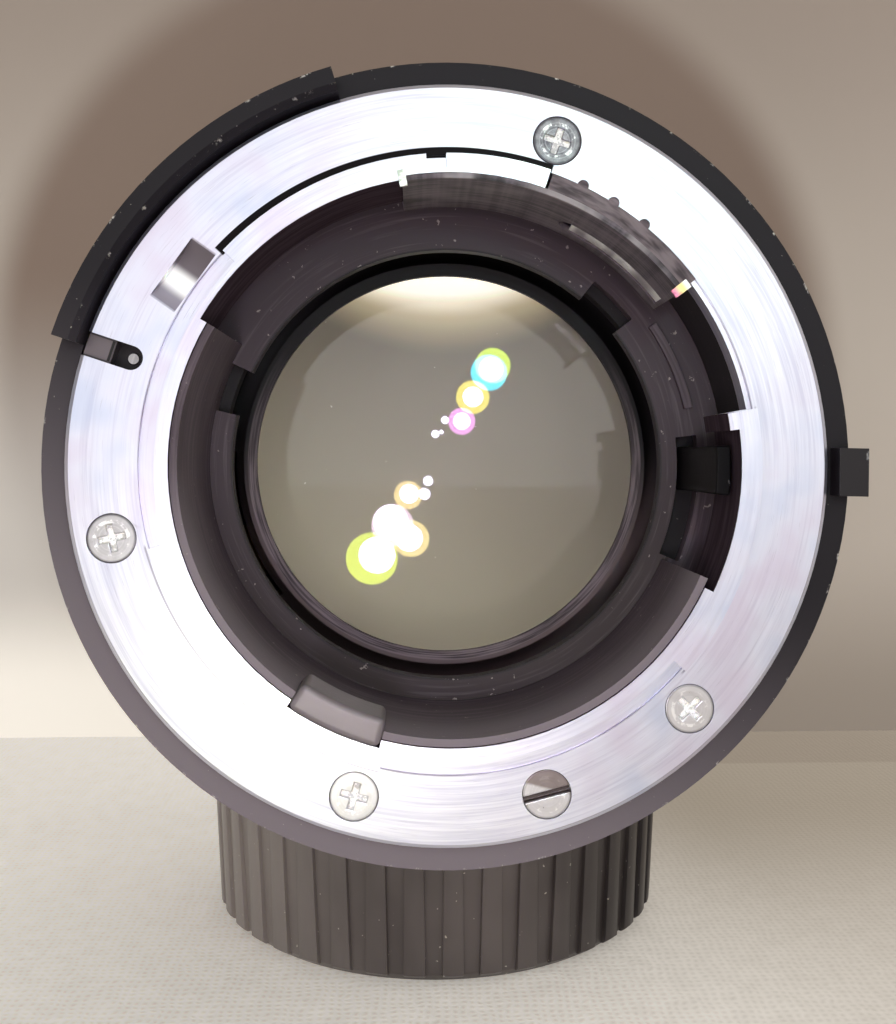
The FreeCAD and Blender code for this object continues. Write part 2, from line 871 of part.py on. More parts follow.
def grub_screw(angle, gap):
    y = grip_back + grub_offset
    bite = sleeve_radius - sleeve_wall_radial / 2
    outer = grip_seat_radius - running_gap + (margin if gap else 0)
    return radial_rod(grub_radius + gap, bite - gap, outer, y, angle)


def focus_grub_screws():
    return Part.Compound([grub_screw(angle, 0) for angle in grub_angles])


def focus_grip():
    """The rubber sleeve, with lengthwise grooves crossed by round ones."""
    bore = grip_seat_radius + fit_gap
    outline = [(bore, grip_back), (grip_radius, grip_back)]
    pitch = grip_width / (grip_band_count + 1)
    for k in range(1, grip_band_count + 1):
        groove_back = grip_back + k * pitch - grip_band_width / 2
        outline += [
            (grip_radius, groove_back),
            (grip_radius - grip_band_depth, groove_back),
            (grip_radius - grip_band_depth, groove_back + grip_band_width),
            (grip_radius, groove_back + grip_band_width),
        ]
    outline += [(grip_radius, grip_front), (bore, grip_front)]
    grooves = [block(grip_radius - grip_groove_depth, grip_radius + margin, grip_back - margin,
                     grip_front + margin, grip_groove_width, full_turn * k / grip_rib_count)
               for k in range(grip_rib_count)]
    return turned(outline).cut(grooves)


def focus_lock_ring():
    return ring(inner_barrel_radius + fit_gap, sleeve_bore - face_gap, lock_ring_back, lock_ring_front)


# Barrels of the optical unit

def inner_barrel_front():
    return second_edge_front() - cell_shoulder


def inner_barrel():
    body = ring(inner_bore_radius, inner_barrel_radius, inner_barrel_back, inner_barrel_front())
    inner = inner_bore_radius - margin
    outer = inner_barrel_radius + margin
    back = inner_barrel_back - margin
    width = key_width + 2 * running_gap
    slots = [block(inner, outer, back, key_front + face_gap, width, angle) for angle in key_angles]
    return body.cut(slots)


def front_barrel():
    outer_bore = front_barrel_radius - front_barrel_wall
    inner_wall = filter_thread_radius + thread_wall
    seat_back = thread_back - cell_seat_length
    web_front = front_barrel_back + web_thickness
    return turned([
        (inner_barrel_radius + fit_gap, front_barrel_back),
        (front_barrel_radius, front_barrel_back),
        (front_barrel_radius, front_barrel_front),
        (filter_thread_radius, front_barrel_front),
        (filter_thread_radius, thread_back),
        (front_seat_radius, thread_back),
        (front_seat_radius, seat_back),
        (inner_wall, seat_back),
        (inner_wall, front_barrel_front - front_web_thickness),
        (outer_bore, front_barrel_front - front_web_thickness),
        (outer_bore, web_front),
        (inner_barrel_radius + fit_gap, web_front),
    ])


def sliding_hood():
    groove_front = hood_front - hood_groove_offset
    groove_back = groove_front - hood_groove_width
    lip_back_edge = hood_front - hood_lip_width
    return turned([
        (hood_bore, hood_back),
        (hood_radius, hood_back),
        (hood_radius, groove_back),
        (hood_radius - hood_groove_depth, groove_back),
        (hood_radius - hood_groove_depth, groove_front),
        (hood_radius, groove_front),
        (hood_radius, hood_front - focus_bevel),
        (hood_radius - focus_bevel, hood_front),
        (hood_bore - hood_lip_height + focus_bevel, hood_front),
        (hood_bore - hood_lip_height, hood_front - focus_bevel),
        (hood_bore - hood_lip_height, max(lip_back_edge, front_barrel_front + face_gap)),
        (hood_bore, max(lip_back_edge, front_barrel_front + face_gap)),
    ])


def hood_felt():
    """The band that holds the hood by friction, far enough forward to bear when the hood is drawn out."""
    back = hood_back + hood_travel + felt_offset
    outer = front_barrel_radius + felt_thickness
    return ring(front_barrel_radius + fit_gap, outer, back, back + felt_width)


# Glass and its cells

def front_edge_front():
    """Where the front element's edge meets the retaining ring, so that the ring stands proud of the glass."""
    vertex = thread_back - retaining_thickness + face_gap
    return vertex - arc_sag(front_glass_curve, front_glass_radius)


def front_element():
    front = front_edge_front()
    back = front - front_glass_edge
    return glass(front_glass_radius, back, arc_sag(front_glass_back_curve, front_glass_radius),
                 front, arc_sag(front_glass_curve, front_glass_radius))


def second_edge_front():
    back_sag = arc_sag(front_glass_back_curve, front_glass_radius)
    back_middle = front_edge_front() - front_glass_edge - back_sag
    return back_middle - glass_air - arc_sag(second_glass_curve, second_glass_radius)


def second_edge_back():
    front_middle = second_edge_front() + arc_sag(second_glass_curve, second_glass_radius)
    return front_middle - second_glass_middle - arc_sag(second_glass_back_curve, second_glass_radius)


def second_element():
    hollow = arc_sag(second_glass_back_curve, second_glass_radius)
    rise = arc_sag(second_glass_curve, second_glass_radius)
    return glass(second_glass_radius, second_edge_back(), -hollow, second_edge_front(), rise)


def front_cell():
    seat = second_glass_radius + fit_gap
    bore = front_glass_radius + fit_gap
    lip = second_glass_radius - cell_lip
    lip_back_place = second_edge_back() - cell_lip_thickness
    return turned([
        (lip, lip_back_place),
        (cell_radius, lip_back_place),
        (cell_radius, inner_barrel_front()),
        (front_cell_radius, inner_barrel_front()),
        (front_cell_radius, front_edge_front()),
        (bore, front_edge_front()),
        (bore, second_edge_front()),
        (seat, second_edge_front()),
        (seat, second_edge_back()),
        (lip, second_edge_back()),
    ])


def element_spacer():
    back = second_edge_front()
    front = front_edge_front() - front_glass_edge
    outer = front_glass_radius
    lip = second_glass_radius - cell_lip
    rise = arc_sag(second_glass_curve, second_glass_radius) - arc_sag(second_glass_curve, lip)
    return turned([
        (second_glass_radius, back + fit_gap),
        (outer, back + fit_gap),
        (outer, front),
        (outer - spacer_wall, front),
        (lip, back + rise + spacer_wall),
        (lip, back + rise + fit_gap),
    ])


def name_ring():
    """The front retaining ring, bare of any lettering."""
    back = front_edge_front()
    front = thread_back
    lip = front_glass_radius - cell_lip
    rise = arc_sag(front_glass_curve, front_glass_radius) - arc_sag(front_glass_curve, lip)
    return turned([
        (front_glass_radius, back),
        (front_cell_radius, back),
        (front_cell_radius, front),
        (lip + name_ring_slope, front),
        (lip, back + rise + face_gap),
        (lip, back + rise + fit_gap),
    ])


def third_edge_back():
    front_middle = third_glass_edge_front + arc_sag(third_glass_curve, third_glass_radius)
    return front_middle - third_glass_middle - arc_sag(third_glass_hollow, third_glass_hollow_radius)


def third_element():
    hollow = arc_sag(third_glass_hollow, third_glass_hollow_radius)
    rise = arc_sag(third_glass_curve, third_glass_radius)
    return glass(third_glass_radius, third_edge_back(), -hollow, third_glass_edge_front, rise,
                 third_glass_hollow_radius)


def middle_ring_outer():
    return third_glass_radius - cell_lip + middle_ring_width


def middle_cell():
    seat = third_glass_radius + fit_gap
    lip = third_glass_radius - cell_lip
    back = third_edge_back()
    front = third_glass_edge_front + middle_cell_front_gap
    ring_back = third_glass_edge_front + face_gap
    return turned([
        (lip, back - cell_lip_thickness),
        (cell_radius, back - cell_lip_thickness),
        (cell_radius, front),
        (middle_ring_outer() + fit_gap, front),
        (middle_ring_outer() + fit_gap, ring_back),
        (seat, ring_back),
        (seat, back),
        (lip, back),
    ])


def middle_retaining_ring():
    back = third_glass_edge_front + face_gap
    return ring(third_glass_radius - cell_lip, middle_ring_outer(), back, back + retaining_thickness)


def rear_cell():
    seat = rear_glass_radius + fit_gap
    outer = seat + rear_cell_wall
    back = rear_glass_edge_back - rear_cell_lip_thickness
    rise = arc_sag(rear_glass_curve, rear_glass_radius) - arc_sag(rear_glass_curve, rear_glass_clear_radius)
    flange_front = rear_flange_back + rear_flange_thickness
    body = turned([
        (rear_glass_clear_radius, back),
        (outer, back),
        (outer, rear_flange_back),
        (cell_radius, rear_flange_back),
        (cell_radius, flange_front),
        (seat, flange_front),
        (seat, rear_glass_edge_back),
        (rear_glass_clear_radius, rear_glass_edge_back - rise - fit_gap),
    ])
    half = arm_half_angle + arm_gap_angle + prong_angle + fork_window_margin
    window = sector(arm_inner_radius - face_gap, arm_inner_radius + arm_wall + face_gap,
                    rear_flange_back - margin, flange_front + margin,
                    arm_angle - half - cam_turn, arm_angle + half)
    return body.cut(window)


def rear_outer_element():
    return glass(rear_glass_radius, rear_glass_edge_back, arc_sag(rear_glass_curve, rear_glass_radius),
                 rear_glass_edge_back + rear_glass_edge, arc_sag(cement_curve, rear_glass_radius))


def rear_inner_element():
    back = rear_glass_edge_back + rear_glass_edge + cement_gap
    return glass(rear_glass_radius, back, -arc_sag(cement_curve, rear_glass_radius),
                 back + rear_inner_edge, arc_sag(rear_inner_curve, rear_glass_radius))


def rear_retaining_ring():
    edge = rear_glass_edge_back + rear_glass_edge + cement_gap + rear_inner_edge
    inner = rear_glass_radius - cell_lip
    rise = arc_sag(rear_inner_curve, rear_glass_radius) - arc_sag(rear_inner_curve, inner)
    return ring(inner, rear_glass_radius, edge + rise + fit_gap, edge + rise + retaining_thickness)


# Iris

def iris_housing():
    """The cup that the blades pivot in: its plate has a hole for each pivot pin."""
    front = plate_back + iris_plate_thickness
    back = cam_ring_back - face_gap - iris_ring_thickness
    body = turned([
        (iris_open_radius, plate_back),
        (iris_cavity_radius, plate_back),
        (iris_cavity_radius, back),
        (cell_radius, back),
        (cell_radius, front),
        (iris_open_radius, front),
    ])
    hole = rod(pin_radius + pin_gap, plate_back - margin, front + margin, pivot_radius, 0)
    holes = [at_angle(hole, blade_angle(k)) for k in range(blade_count)]
    return body.cut(holes)


def blade_angle(k):
    return first_blade_angle + k * full_turn / blade_count


def blade_back(k):
    return iris_plane + blade_start_gap + k * blade_pitch


def iris_blade(k):
    """One blade, open: a crescent with two ears, its pivot pin in front and its cam pin behind."""
    back = blade_back(k)
    front = back + blade_thickness
    inner = blade_inner_radius
    outer = blade_outer_radius
    tail_middle = (inner + outer) / 2
    crescent = sector(inner, outer, back, front, blade_head_angle, blade_tail_angle)
    tail = rod((outer - inner) / 2, back, front, tail_middle, blade_tail_angle)
    ear_reach = cam_pin_radius + blade_ear_radius
    shoulder = sector(tail_middle, ear_reach, back, front, 0, cam_pin_angle)
    pivot_ear = rod(blade_ear_radius, back, front, pivot_radius, 0)
    cam_ear = rod(blade_ear_radius, back, front, cam_pin_radius, cam_pin_angle)
    plate_front = plate_back + iris_plate_thickness
    pivot_pin = rod(pin_radius, back, plate_front - fit_gap, pivot_radius, 0)
    cam_pin = rod(pin_radius, cam_ring_back + fit_gap, front, cam_pin_radius, cam_pin_angle)
    blade = fuse([crescent, tail, shoulder, pivot_ear, cam_ear, pivot_pin, cam_pin])
    return at_angle(blade, blade_angle(k))


def cam_pin_place(share):
    """Where a blade's cam pin lies, as seen from the turning cam ring, at a share of the whole stroke."""
    swing = math.radians(blade_swing * share)
    start = math.radians(cam_pin_angle)
    east = cam_pin_radius * math.cos(start) - pivot_radius
    north = cam_pin_radius * math.sin(start)
    x = pivot_radius + east * math.cos(swing) - north * math.sin(swing)
    z = east * math.sin(swing) + north * math.cos(swing)
    return math.hypot(x, z), math.degrees(math.atan2(z, x)) + cam_turn * share


def cam_slot():
    """The slot for the pin of a blade at angle 0: its sides run beside the pin's path."""
    half = pin_radius + pin_gap
    places = [polar(*cam_pin_place(k / cam_slot_steps), cam_ring_back - margin)
              for k in range(cam_slot_steps + 1)]
    sides = {1: [], -1: []}
    for k, place in enumerate(places):
        ahead = places[min(k + 1, cam_slot_steps)] - places[max(k - 1, 0)]
        ahead.normalize()
        across = Vector(-ahead.z, 0, ahead.x) * half
        for side in sides:
            sides[side].append(place + across * side)
        if k == 0:
            start_tip = place - ahead * half
        end_tip = place + ahead * half
    edges = []
    for side in sides:
        curve = Part.BSplineCurve()
        curve.interpolate(sides[side])
        edges.append(curve.toShape())
    edges.append(Part.Arc(sides[1][0], start_tip, sides[-1][0]).toShape())
    edges.append(Part.Arc(sides[1][-1], end_tip, sides[-1][-1]).toShape())
    face = Part.Face(Part.Wire(Part.__sortEdges__(edges)))
    return face.extrude(Vector(0, cam_ring_thickness + 2 * margin, 0))


def cam_arm_back():
    return lever_ring_front + face_gap


def iris_cam_ring():
    front = cam_ring_back + cam_ring_thickness
    body = ring(cam_ring_bore_radius, cam_ring_radius, cam_ring_back, front)
    arm = sector(arm_inner_radius, arm_inner_radius + arm_wall, cam_arm_back(), front,
                 arm_angle - arm_half_angle, arm_angle + arm_half_angle)
    slot = cam_slot()
    return fuse([body, arm]).cut([at_angle(slot, blade_angle(k)) for k in range(blade_count)])


def iris_retaining_ring():
    outer = iris_cavity_radius - fit_gap
    front = cam_ring_back - face_gap
    return ring(outer - iris_ring_width, outer, front - iris_ring_thickness, front)


# Rear cap

def cap_rim_level():
    """The rim lies just under the lowest line of the lens where the two cross."""
    return -(max(skirt_radius, hood_radius) + face_gap)


def cap_bore_radius():
    return cap_base_radius - cap_rib_depth - cap_wall


def cap_centre():
    """The grip dips into the cap's mouth, just in front of the mouth's rear edge."""
    depth = max(grip_radius + cap_rim_level(), 0)
    half_width = math.sqrt(depth * (2 * grip_radius - depth))
    return grip_back - face_gap + math.sqrt(cap_bore_radius() ** 2 - half_width ** 2)


def cap_ribbed_skirt(base, rim):
    """A tapered skirt whose outline has one groove for each rib."""
    rib_section = (
        (0, 0),
        (cap_rib_share, 0),
        (cap_rib_share + cap_flank_share, cap_rib_depth),
        (1 - cap_flank_share, cap_rib_depth),
    )
    wires = []
    for level, radius in ((base, cap_base_radius), (rim, cap_rim_radius)):
        points = []
        for k in range(cap_rib_count):
            for share, depth in rib_section:
                turn = 2 * math.pi * (k + share) / cap_rib_count
                reach = radius - depth
                points.append(Vector(reach * math.cos(turn), cap_centre() + reach * math.sin(turn), level))
        wires.append(Part.makePolygon(points + points[:1]))
    return Part.makeLoft(wires, True, True)


def rear_cap():
    rim = cap_rim_level()
    base = rim - cap_height
    centre = Vector(0, cap_centre(), 0)
    skirt = cap_ribbed_skirt(base, rim - cap_rim_height)
    band_back = rim - cap_rim_height
    band = Part.makeCylinder(cap_rim_radius, cap_rim_height, centre + upward * band_back, upward)
    bore_radius = cap_bore_radius()
    floor = base + cap_floor
    bore = Part.makeCylinder(bore_radius, cap_height, centre + upward * floor, upward)
    tabs = []
    tab_base = rim - cap_tab_depth - cap_tab_height
    for start, end in cap_tab_spans:
        tab = Part.makeCylinder(bore_radius + cap_wall / 2, cap_tab_height, origin, upward, end - start)
        tab = tab.cut(Part.makeCylinder(bore_radius - cap_tab_reach, cap_tab_height, origin, upward))
        tab.rotate(origin, upward, start)
        tab.translate(centre + upward * tab_base)
        tabs.append(tab)
    shell = skirt.fuse(band).cut(bore)
    cap = fuse([shell] + tabs)
    bevel_height = cap_height + cap_base_bevel
    cone = Part.makeCone(cap_base_radius - cap_base_bevel, cap_base_radius + cap_height, bevel_height,
                         centre + upward * base, upward)
    return cap.common(cone)


nodes = {
    "mount_flange": mount_flange,
    "mount_cross_screws": mount_cross_screws,
    "mount_slotted_screw": mount_slotted_screw,
    "mount_carrier": mount_carrier,
    "lever_guard": lever_guard,
    "rear_light_baffle": rear_light_baffle,
    "speed_index_post": speed_index_post,
    "stop_down_ring": stop_down_ring,
    "stop_down_lever": stop_down_lever,
    "lever_ring_retainer": lever_ring_retainer,
    "aperture_ring": aperture_ring,
    "servo_post": servo_post,
    "click_ball": click_ball,
    "click_spring": click_spring,
    "fixed_barrel": fixed_barrel,
    "depth_scale_ring": depth_scale_ring,
    "guide_keys": guide_keys,
    "guide_key_screws": guide_key_screws,
    "helicoid_sleeve": helicoid_sleeve,
    "focus_ring": focus_ring,
    "focus_grip": focus_grip,
    "focus_grub_screws": focus_grub_screws,
    "focus_lock_ring": focus_lock_ring,
    "inner_barrel": inner_barrel,
    "front_barrel": front_barrel,
    "sliding_hood": sliding_hood,
    "hood_felt": hood_felt,
    "front_element": front_element,
    "second_element": second_element,
    "third_element": third_element,
    "rear_inner_element": rear_inner_element,
    "rear_outer_element": rear_outer_element,
    "front_cell": front_cell,
    "element_spacer": element_spacer,
    "name_ring": name_ring,
    "middle_cell": middle_cell,
    "middle_retaining_ring": middle_retaining_ring,
    "rear_cell": rear_cell,
    "rear_retaining_ring": rear_retaining_ring,
    "iris_housing": iris_housing,
    "iris_cam_ring": iris_cam_ring,
    "iris_retaining_ring": iris_retaining_ring,
    "rear_cap": rear_cap,
}

os.makedirs("parts", exist_ok=True)
for name, make in nodes.items():
    make().exportStep(f"parts/{name}.step")
for k in range(blade_count):
    iris_blade(k).exportStep(f"parts/iris_blade_{k + 1}.step")
print("blade swing in degrees:", round(blade_swing, 4))
print("cap base level:", round(cap_rim_level() - cap_height, 3), "centre:", round(cap_centre(), 3))
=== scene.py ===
import json
import math
from functools import reduce

import bmesh
import bpy
from mathutils import Matrix, Vector

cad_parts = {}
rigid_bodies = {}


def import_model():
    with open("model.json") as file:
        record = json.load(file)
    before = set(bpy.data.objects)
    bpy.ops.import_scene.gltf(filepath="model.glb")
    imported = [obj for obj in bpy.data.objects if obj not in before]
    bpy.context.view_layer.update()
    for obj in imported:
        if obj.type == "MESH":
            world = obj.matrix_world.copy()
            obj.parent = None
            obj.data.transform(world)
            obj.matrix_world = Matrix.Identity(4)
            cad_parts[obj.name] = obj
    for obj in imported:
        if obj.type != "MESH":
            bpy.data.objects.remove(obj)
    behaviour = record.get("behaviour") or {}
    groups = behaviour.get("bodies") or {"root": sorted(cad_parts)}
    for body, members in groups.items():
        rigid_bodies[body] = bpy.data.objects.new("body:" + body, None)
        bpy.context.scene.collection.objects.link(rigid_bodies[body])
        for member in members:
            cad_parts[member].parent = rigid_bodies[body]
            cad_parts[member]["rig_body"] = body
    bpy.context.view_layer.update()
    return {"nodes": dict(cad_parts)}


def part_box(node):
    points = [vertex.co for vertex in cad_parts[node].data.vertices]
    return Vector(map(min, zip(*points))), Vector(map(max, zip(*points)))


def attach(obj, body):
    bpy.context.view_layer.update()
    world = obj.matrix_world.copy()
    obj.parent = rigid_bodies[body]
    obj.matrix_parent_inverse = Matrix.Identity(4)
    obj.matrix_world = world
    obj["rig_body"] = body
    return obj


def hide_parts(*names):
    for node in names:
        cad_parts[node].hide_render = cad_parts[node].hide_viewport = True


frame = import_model()
nodes = frame["nodes"]
print("frame loaded with", len(nodes), "nodes")

# The optical axis is Y and the lens's front is at +Y. Angles count from +X towards +Z, as seen from behind.
# All sizes below are in millimetres, and become metres where a mesh is made.
mm = 0.001
indexAngle = 71.6
lockSlot = {"angle": 161.6, "floor": 1.9, "middle": 26.5}
fullTurn = 360.0


# Node trees

class Wire:  # one output socket, so that plain expressions add Math nodes
    def __init__(self, bench, socket):
        self.bench = bench
        self.socket = socket

    def out(self, name):
        return Wire(self.bench, self.socket.node.outputs[name])

    def __add__(self, other):
        return self.bench.maths("ADD", self, other)

    __radd__ = __add__

    def __sub__(self, other):
        return self.bench.maths("SUBTRACT", self, other)

    def __rsub__(self, other):
        return self.bench.maths("SUBTRACT", other, self)

    def __mul__(self, other):
        return self.bench.maths("MULTIPLY", self, other)

    __rmul__ = __mul__

    def __truediv__(self, other):
        return self.bench.maths("DIVIDE", self, other)

    def __rtruediv__(self, other):
        return self.bench.maths("DIVIDE", other, self)

    def __pow__(self, other):
        return self.bench.maths("POWER", self, other)

    def __rpow__(self, other):
        return self.bench.maths("POWER", other, self)


class Bench:  # adds nodes to one tree
    def __init__(self, tree):
        self.tree = tree

    def add(self, kind, settings=None, sockets=None, output=0):
        made = self.tree.nodes.new(kind)
        for name, value in (settings or {}).items():
            if name == "stops":
                ramp = made.color_ramp
                while len(ramp.elements) < len(value):
                    ramp.elements.new(1.0)
                for element, (position, colour) in zip(ramp.elements, value):
                    element.position = position
                    element.color = colour
            else:
                setattr(made, name, value)
        for name, value in (sockets or {}).items():
            if isinstance(value, Wire):
                self.tree.links.new(value.socket, made.inputs[name])
            else:
                made.inputs[name].default_value = value
        return Wire(self, made.outputs[output]) if len(made.outputs) else None

    def maths(self, operation, *values):
        return self.add("ShaderNodeMath", {"operation": operation}, dict(enumerate(values)))

    def fold(self, operation, values):  # one Math operation over any number of values
        return reduce(lambda one, other: self.maths(operation, one, other), values)

    def blend(self, share, first, second):
        settings = {"data_type": "RGBA", "blend_type": "MIX", "clamp_factor": True}
        return self.add("ShaderNodeMix", settings, {0: share, 6: first, 7: second}, output=2)

    def layers(self, colour, *coats):  # coats of (share, colour), each laid over those before it
        for share, over in coats:
            colour = self.blend(share, colour, over)
        return colour

    def shownPaths(self):  # 1 where the camera sees a surface, itself or in metal and glass
        path = self.add("ShaderNodeLightPath")
        return self.maths("MINIMUM", path + path.out("Is Glossy Ray") + path.out("Is Transmission Ray"), 1.0)

    def between(self, value, low, high, atLow=0.0, atHigh=1.0):  # smooth step from low to high
        settings = {"interpolation_type": "SMOOTHSTEP", "clamp": True}
        return self.add("ShaderNodeMapRange", settings, {0: value, 1: low, 2: high, 3: atLow, 4: atHigh})

    def window(self, value, low, high, soft):  # 1 between low and high, fading over soft
        return self.between(value, low - soft, low) * self.between(value, high, high + soft, 1.0, 0.0)

    def grain(self, vector, scale, detail=2.0, rough=0.5, warp=0.0):
        return self.add("ShaderNodeTexNoise", sockets={
            "Vector": vector, "Scale": scale, "Detail": detail, "Roughness": rough, "Distortion": warp})


unlit = (0.0, 0.0, 0.0, 1.0)


def tone(red, green, blue):  # a colour picked as 0 to 255 on screen, as the linear values that sockets take
    linear = [(c / 255 / 12.92) if c <= 10 else ((c / 255 + 0.055) / 1.055) ** 2.4 for c in (red, green, blue)]
    return (*linear, 1.0)


def deeper(colour, share):  # the same hue, darker with a share under 1 and paler over it
    return (*(share * c for c in colour[:3]), 1.0)


class Finish(Bench):  # one material, with the place on the object in millimetres and as radius and angle
    def __init__(self, name):
        self.material = bpy.data.materials.new(name)
        self.material.use_nodes = True
        self.material.node_tree.nodes.clear()
        super().__init__(self.material.node_tree)
        self.coords = self.add("ShaderNodeTexCoord", output="Object")
        self.place = self.add("ShaderNodeVectorMath", {"operation": "SCALE"}, {0: self.coords, "Scale": 1000.0})
        split = self.add("ShaderNodeSeparateXYZ", sockets={0: self.place})
        self.x, self.y, self.z = split, split.out("Y"), split.out("Z")
        self.radius = (self.x * self.x + self.z * self.z) ** 0.5
        self.angle = self.maths("ARCTAN2", self.z, self.x) * (180 / math.pi)

    def turning(self, across, along, depth=0.0):  # coordinates whose noise runs in streaks round the axis
        safe = self.maths("MAXIMUM", self.radius, 0.01)
        return self.add("ShaderNodeCombineXYZ", sockets={
            0: self.x / safe * along, 1: self.radius * across + self.y * depth, 2: self.z / safe * along})

    def slid(self, angle):  # how far a place lies to the side of the radius at this angle
        turn = math.radians(angle)
        return self.z * math.cos(turn) - self.x * math.sin(turn)

    def bump(self, height, strength, distance):
        sockets = {"Height": height, "Strength": strength, "Distance": distance * mm}
        return self.add("ShaderNodeBump", sockets=sockets)

    def done(self, sockets, mixWith=None, factor=0.5):
        shader = self.add("ShaderNodeBsdfPrincipled", sockets=sockets)
        if mixWith:
            shader = self.add("ShaderNodeMixShader", sockets={0: factor, 1: shader, 2: mixWith})
        self.add("ShaderNodeOutputMaterial", sockets={"Surface": shader})
        return self.material


# Finishes

def turnedGrain(f, streaks, scratchFrom):
    # fine and broad streaks of the lathe, a slow change of tint, and a few scratches
    fine = f.grain(f.turning(streaks, 3.0, 2.0), 1.0, 3.0, 0.6)
    broad = f.grain(f.turning(0.9, 2.2, 0.4), 1.0, 2.0)
    scratch = f.grain(f.turning(14.0, 9.0, 5.0), 1.0, 2.0, 0.7)
    return fine, broad, f.grain(f.place, 0.16, 2.0), f.between(scratch, scratchFrom, scratchFrom + 0.07)


def turnedMetal(name, bright, shade, roughness, streaks=5.0):
    f = Finish(name)
    fine, broad, tint, scratch = turnedGrain(f, streaks, 0.67)
    colour = f.layers(
        shade, (f.between(fine * 0.6 + broad * 0.4, 0.3, 0.7), bright),
        (f.between(tint, 0.45, 0.7) * 0.35, tone(214, 203, 214)),
        (f.between(tint, 0.52, 0.3) * 0.3, tone(203, 209, 224)), (scratch * 0.35, tone(120, 116, 124)))
    return f.done({
        "Base Color": colour, "Metallic": 1.0, "Roughness": fine * 0.16 + scratch * 0.15 + (roughness - 0.08),
        "Normal": f.bump(fine * 0.7 + broad, 0.3, 0.02)})


# where the mount's marks, painted shadows and painted highlight lie: spans of radius, and of angle for the lugs
# and the scoop
mountMarks = {
    "highlightAngle": 60.0, "rimLines": ((29.66, 29.7), (24.26, 24.34)),
    "lowerLugs": ((-41.5, 10.0), (-164.5, -103.5)), "lowerLugShadow": (24.5, 24.6),
    "upperLug": (71.0, 137.3), "upperLugShadow": (24.2, 24.95),
    "scoopAngle": 144.65, "scoopHalf": 2.75, "scoopRadii": (24.5, 26.8), "tubeWall": (21.85, 21.7),
}


def mountFinish():
    f = Finish("brightMount")
    marks = mountMarks
    fine, broad, tint, scratch = turnedGrain(f, 5.0, 0.66)
    # brightest and cleanest along one diagonal, a painted highlight, and bluer, darker and more streaked across
    # it, painted shade
    slant = f.maths("ABSOLUTE", f.maths("COSINE", (f.angle - marks["highlightAngle"]) * (math.pi / 180)))
    offHighlight = f.between(slant, 0.95, 0.35)
    rims = f.fold("MAXIMUM", [f.window(f.radius, *span, 0.05) for span in marks["rimLines"]])
    # thin painted shadow lines behind the two lower lugs
    lugs = f.fold("MAXIMUM", [f.window(f.angle, *span, 1.0) for span in marks["lowerLugs"]])
    thin = f.window(f.radius, *marks["lowerLugShadow"], 0.06) * f.between(f.y, -0.5, -0.2) * lugs
    # the scoop has a painted reflection bright in its middle and painted shade at its upper end
    slide = f.slid(marks["scoopAngle"])
    inScoop = (f.window(slide, -marks["scoopHalf"], marks["scoopHalf"], 0.1)
               * f.window(f.radius, *marks["scoopRadii"], 0.1) * f.between(f.y, 0.04, 0.12))
    scoopLight = f.layers(tone(104, 95, 101), (f.between(slide, -0.6, 0.3), tone(255, 254, 253)),
                     (f.between(slide, 1.0, 1.9), tone(150, 144, 156)))
    # the painted shadow behind the long upper lug, a black line on the flange
    lugShadowBand = (f.window(f.radius, *marks["upperLugShadow"], 0.05) * f.window(f.angle, *marks["upperLug"], 0.3)
            * f.window(f.y, -0.4, 0.6, 0.1))
    # the floor of the lock-pin slot, with the painted light and shade of a step: a grey outer step, a black
    # line and a darker inner part, darker along its sides
    turn = math.radians(lockSlot["angle"])
    along = f.x * math.cos(turn) + f.z * math.sin(turn)
    across = f.maths("ABSOLUTE", f.slid(lockSlot["angle"]))
    inSlot = f.between(across, 1.0, 0.96) * f.between(f.y, 0.03, 0.1) * f.between(along, 25.0, 25.1)
    step = f.layers(tone(74, 66, 70), (f.between(along, 28.1, 28.2), tone(104, 95, 99)),
                    (f.window(along, 27.95, 28.1, 0.06), tone(18, 14, 16)),
                    (f.window(across, 0.84, 1.0, 0.06), tone(60, 54, 58)))
    colour = f.layers(
        tone(200, 200, 218), (f.between(fine * 0.6 + broad * 0.4, 0.3, 0.7), tone(240, 240, 248)),
        (offHighlight * f.between(broad * 0.5 + fine * 0.5, 0.36, 0.62) * 0.6, tone(200, 203, 223)),
        (offHighlight * f.between(tint, 0.46, 0.68) * 0.5, tone(206, 192, 212)),
        (offHighlight * f.between(tint, 0.52, 0.3) * 0.5, tone(182, 194, 220)), (scratch * 0.4, tone(150, 145, 156)),
        (rims * f.between(broad, 0.35, 0.6) * 0.55, tone(120, 112, 124)), (thin * 0.6, tone(96, 90, 104)),
        (inScoop, scoopLight), (lugShadowBand, tone(14, 11, 13)), (inSlot, step))
    # the wall inside the tube is blackened against stray light
    inside = f.between(f.radius, *marks["tubeWall"]) * f.between(f.y, -4.66, -4.5)
    soot = f.blend(f.between(fine, 0.3, 0.7), tone(50, 40, 46), tone(66, 55, 61))
    dark = f.add("ShaderNodeBsdfPrincipled", sockets={
        "Base Color": soot, "Roughness": 0.9, "Specular IOR Level": 0.0})
    return f.done({
        "Base Color": colour, "Metallic": 0.88 - inSlot * 0.5 - inScoop * 0.6,
        "Roughness": fine * 0.16 + scratch * 0.15 + 0.26,
        "Normal": f.bump(fine * 0.7 + broad, 0.3, 0.02)}, mixWith=dark, factor=inside)


screwPlaces = {"cross": (71.7, 192.3, 253.8, 314.4), "slotted": (286.3,), "faceRadius": 1.68, "edge": 1.86}


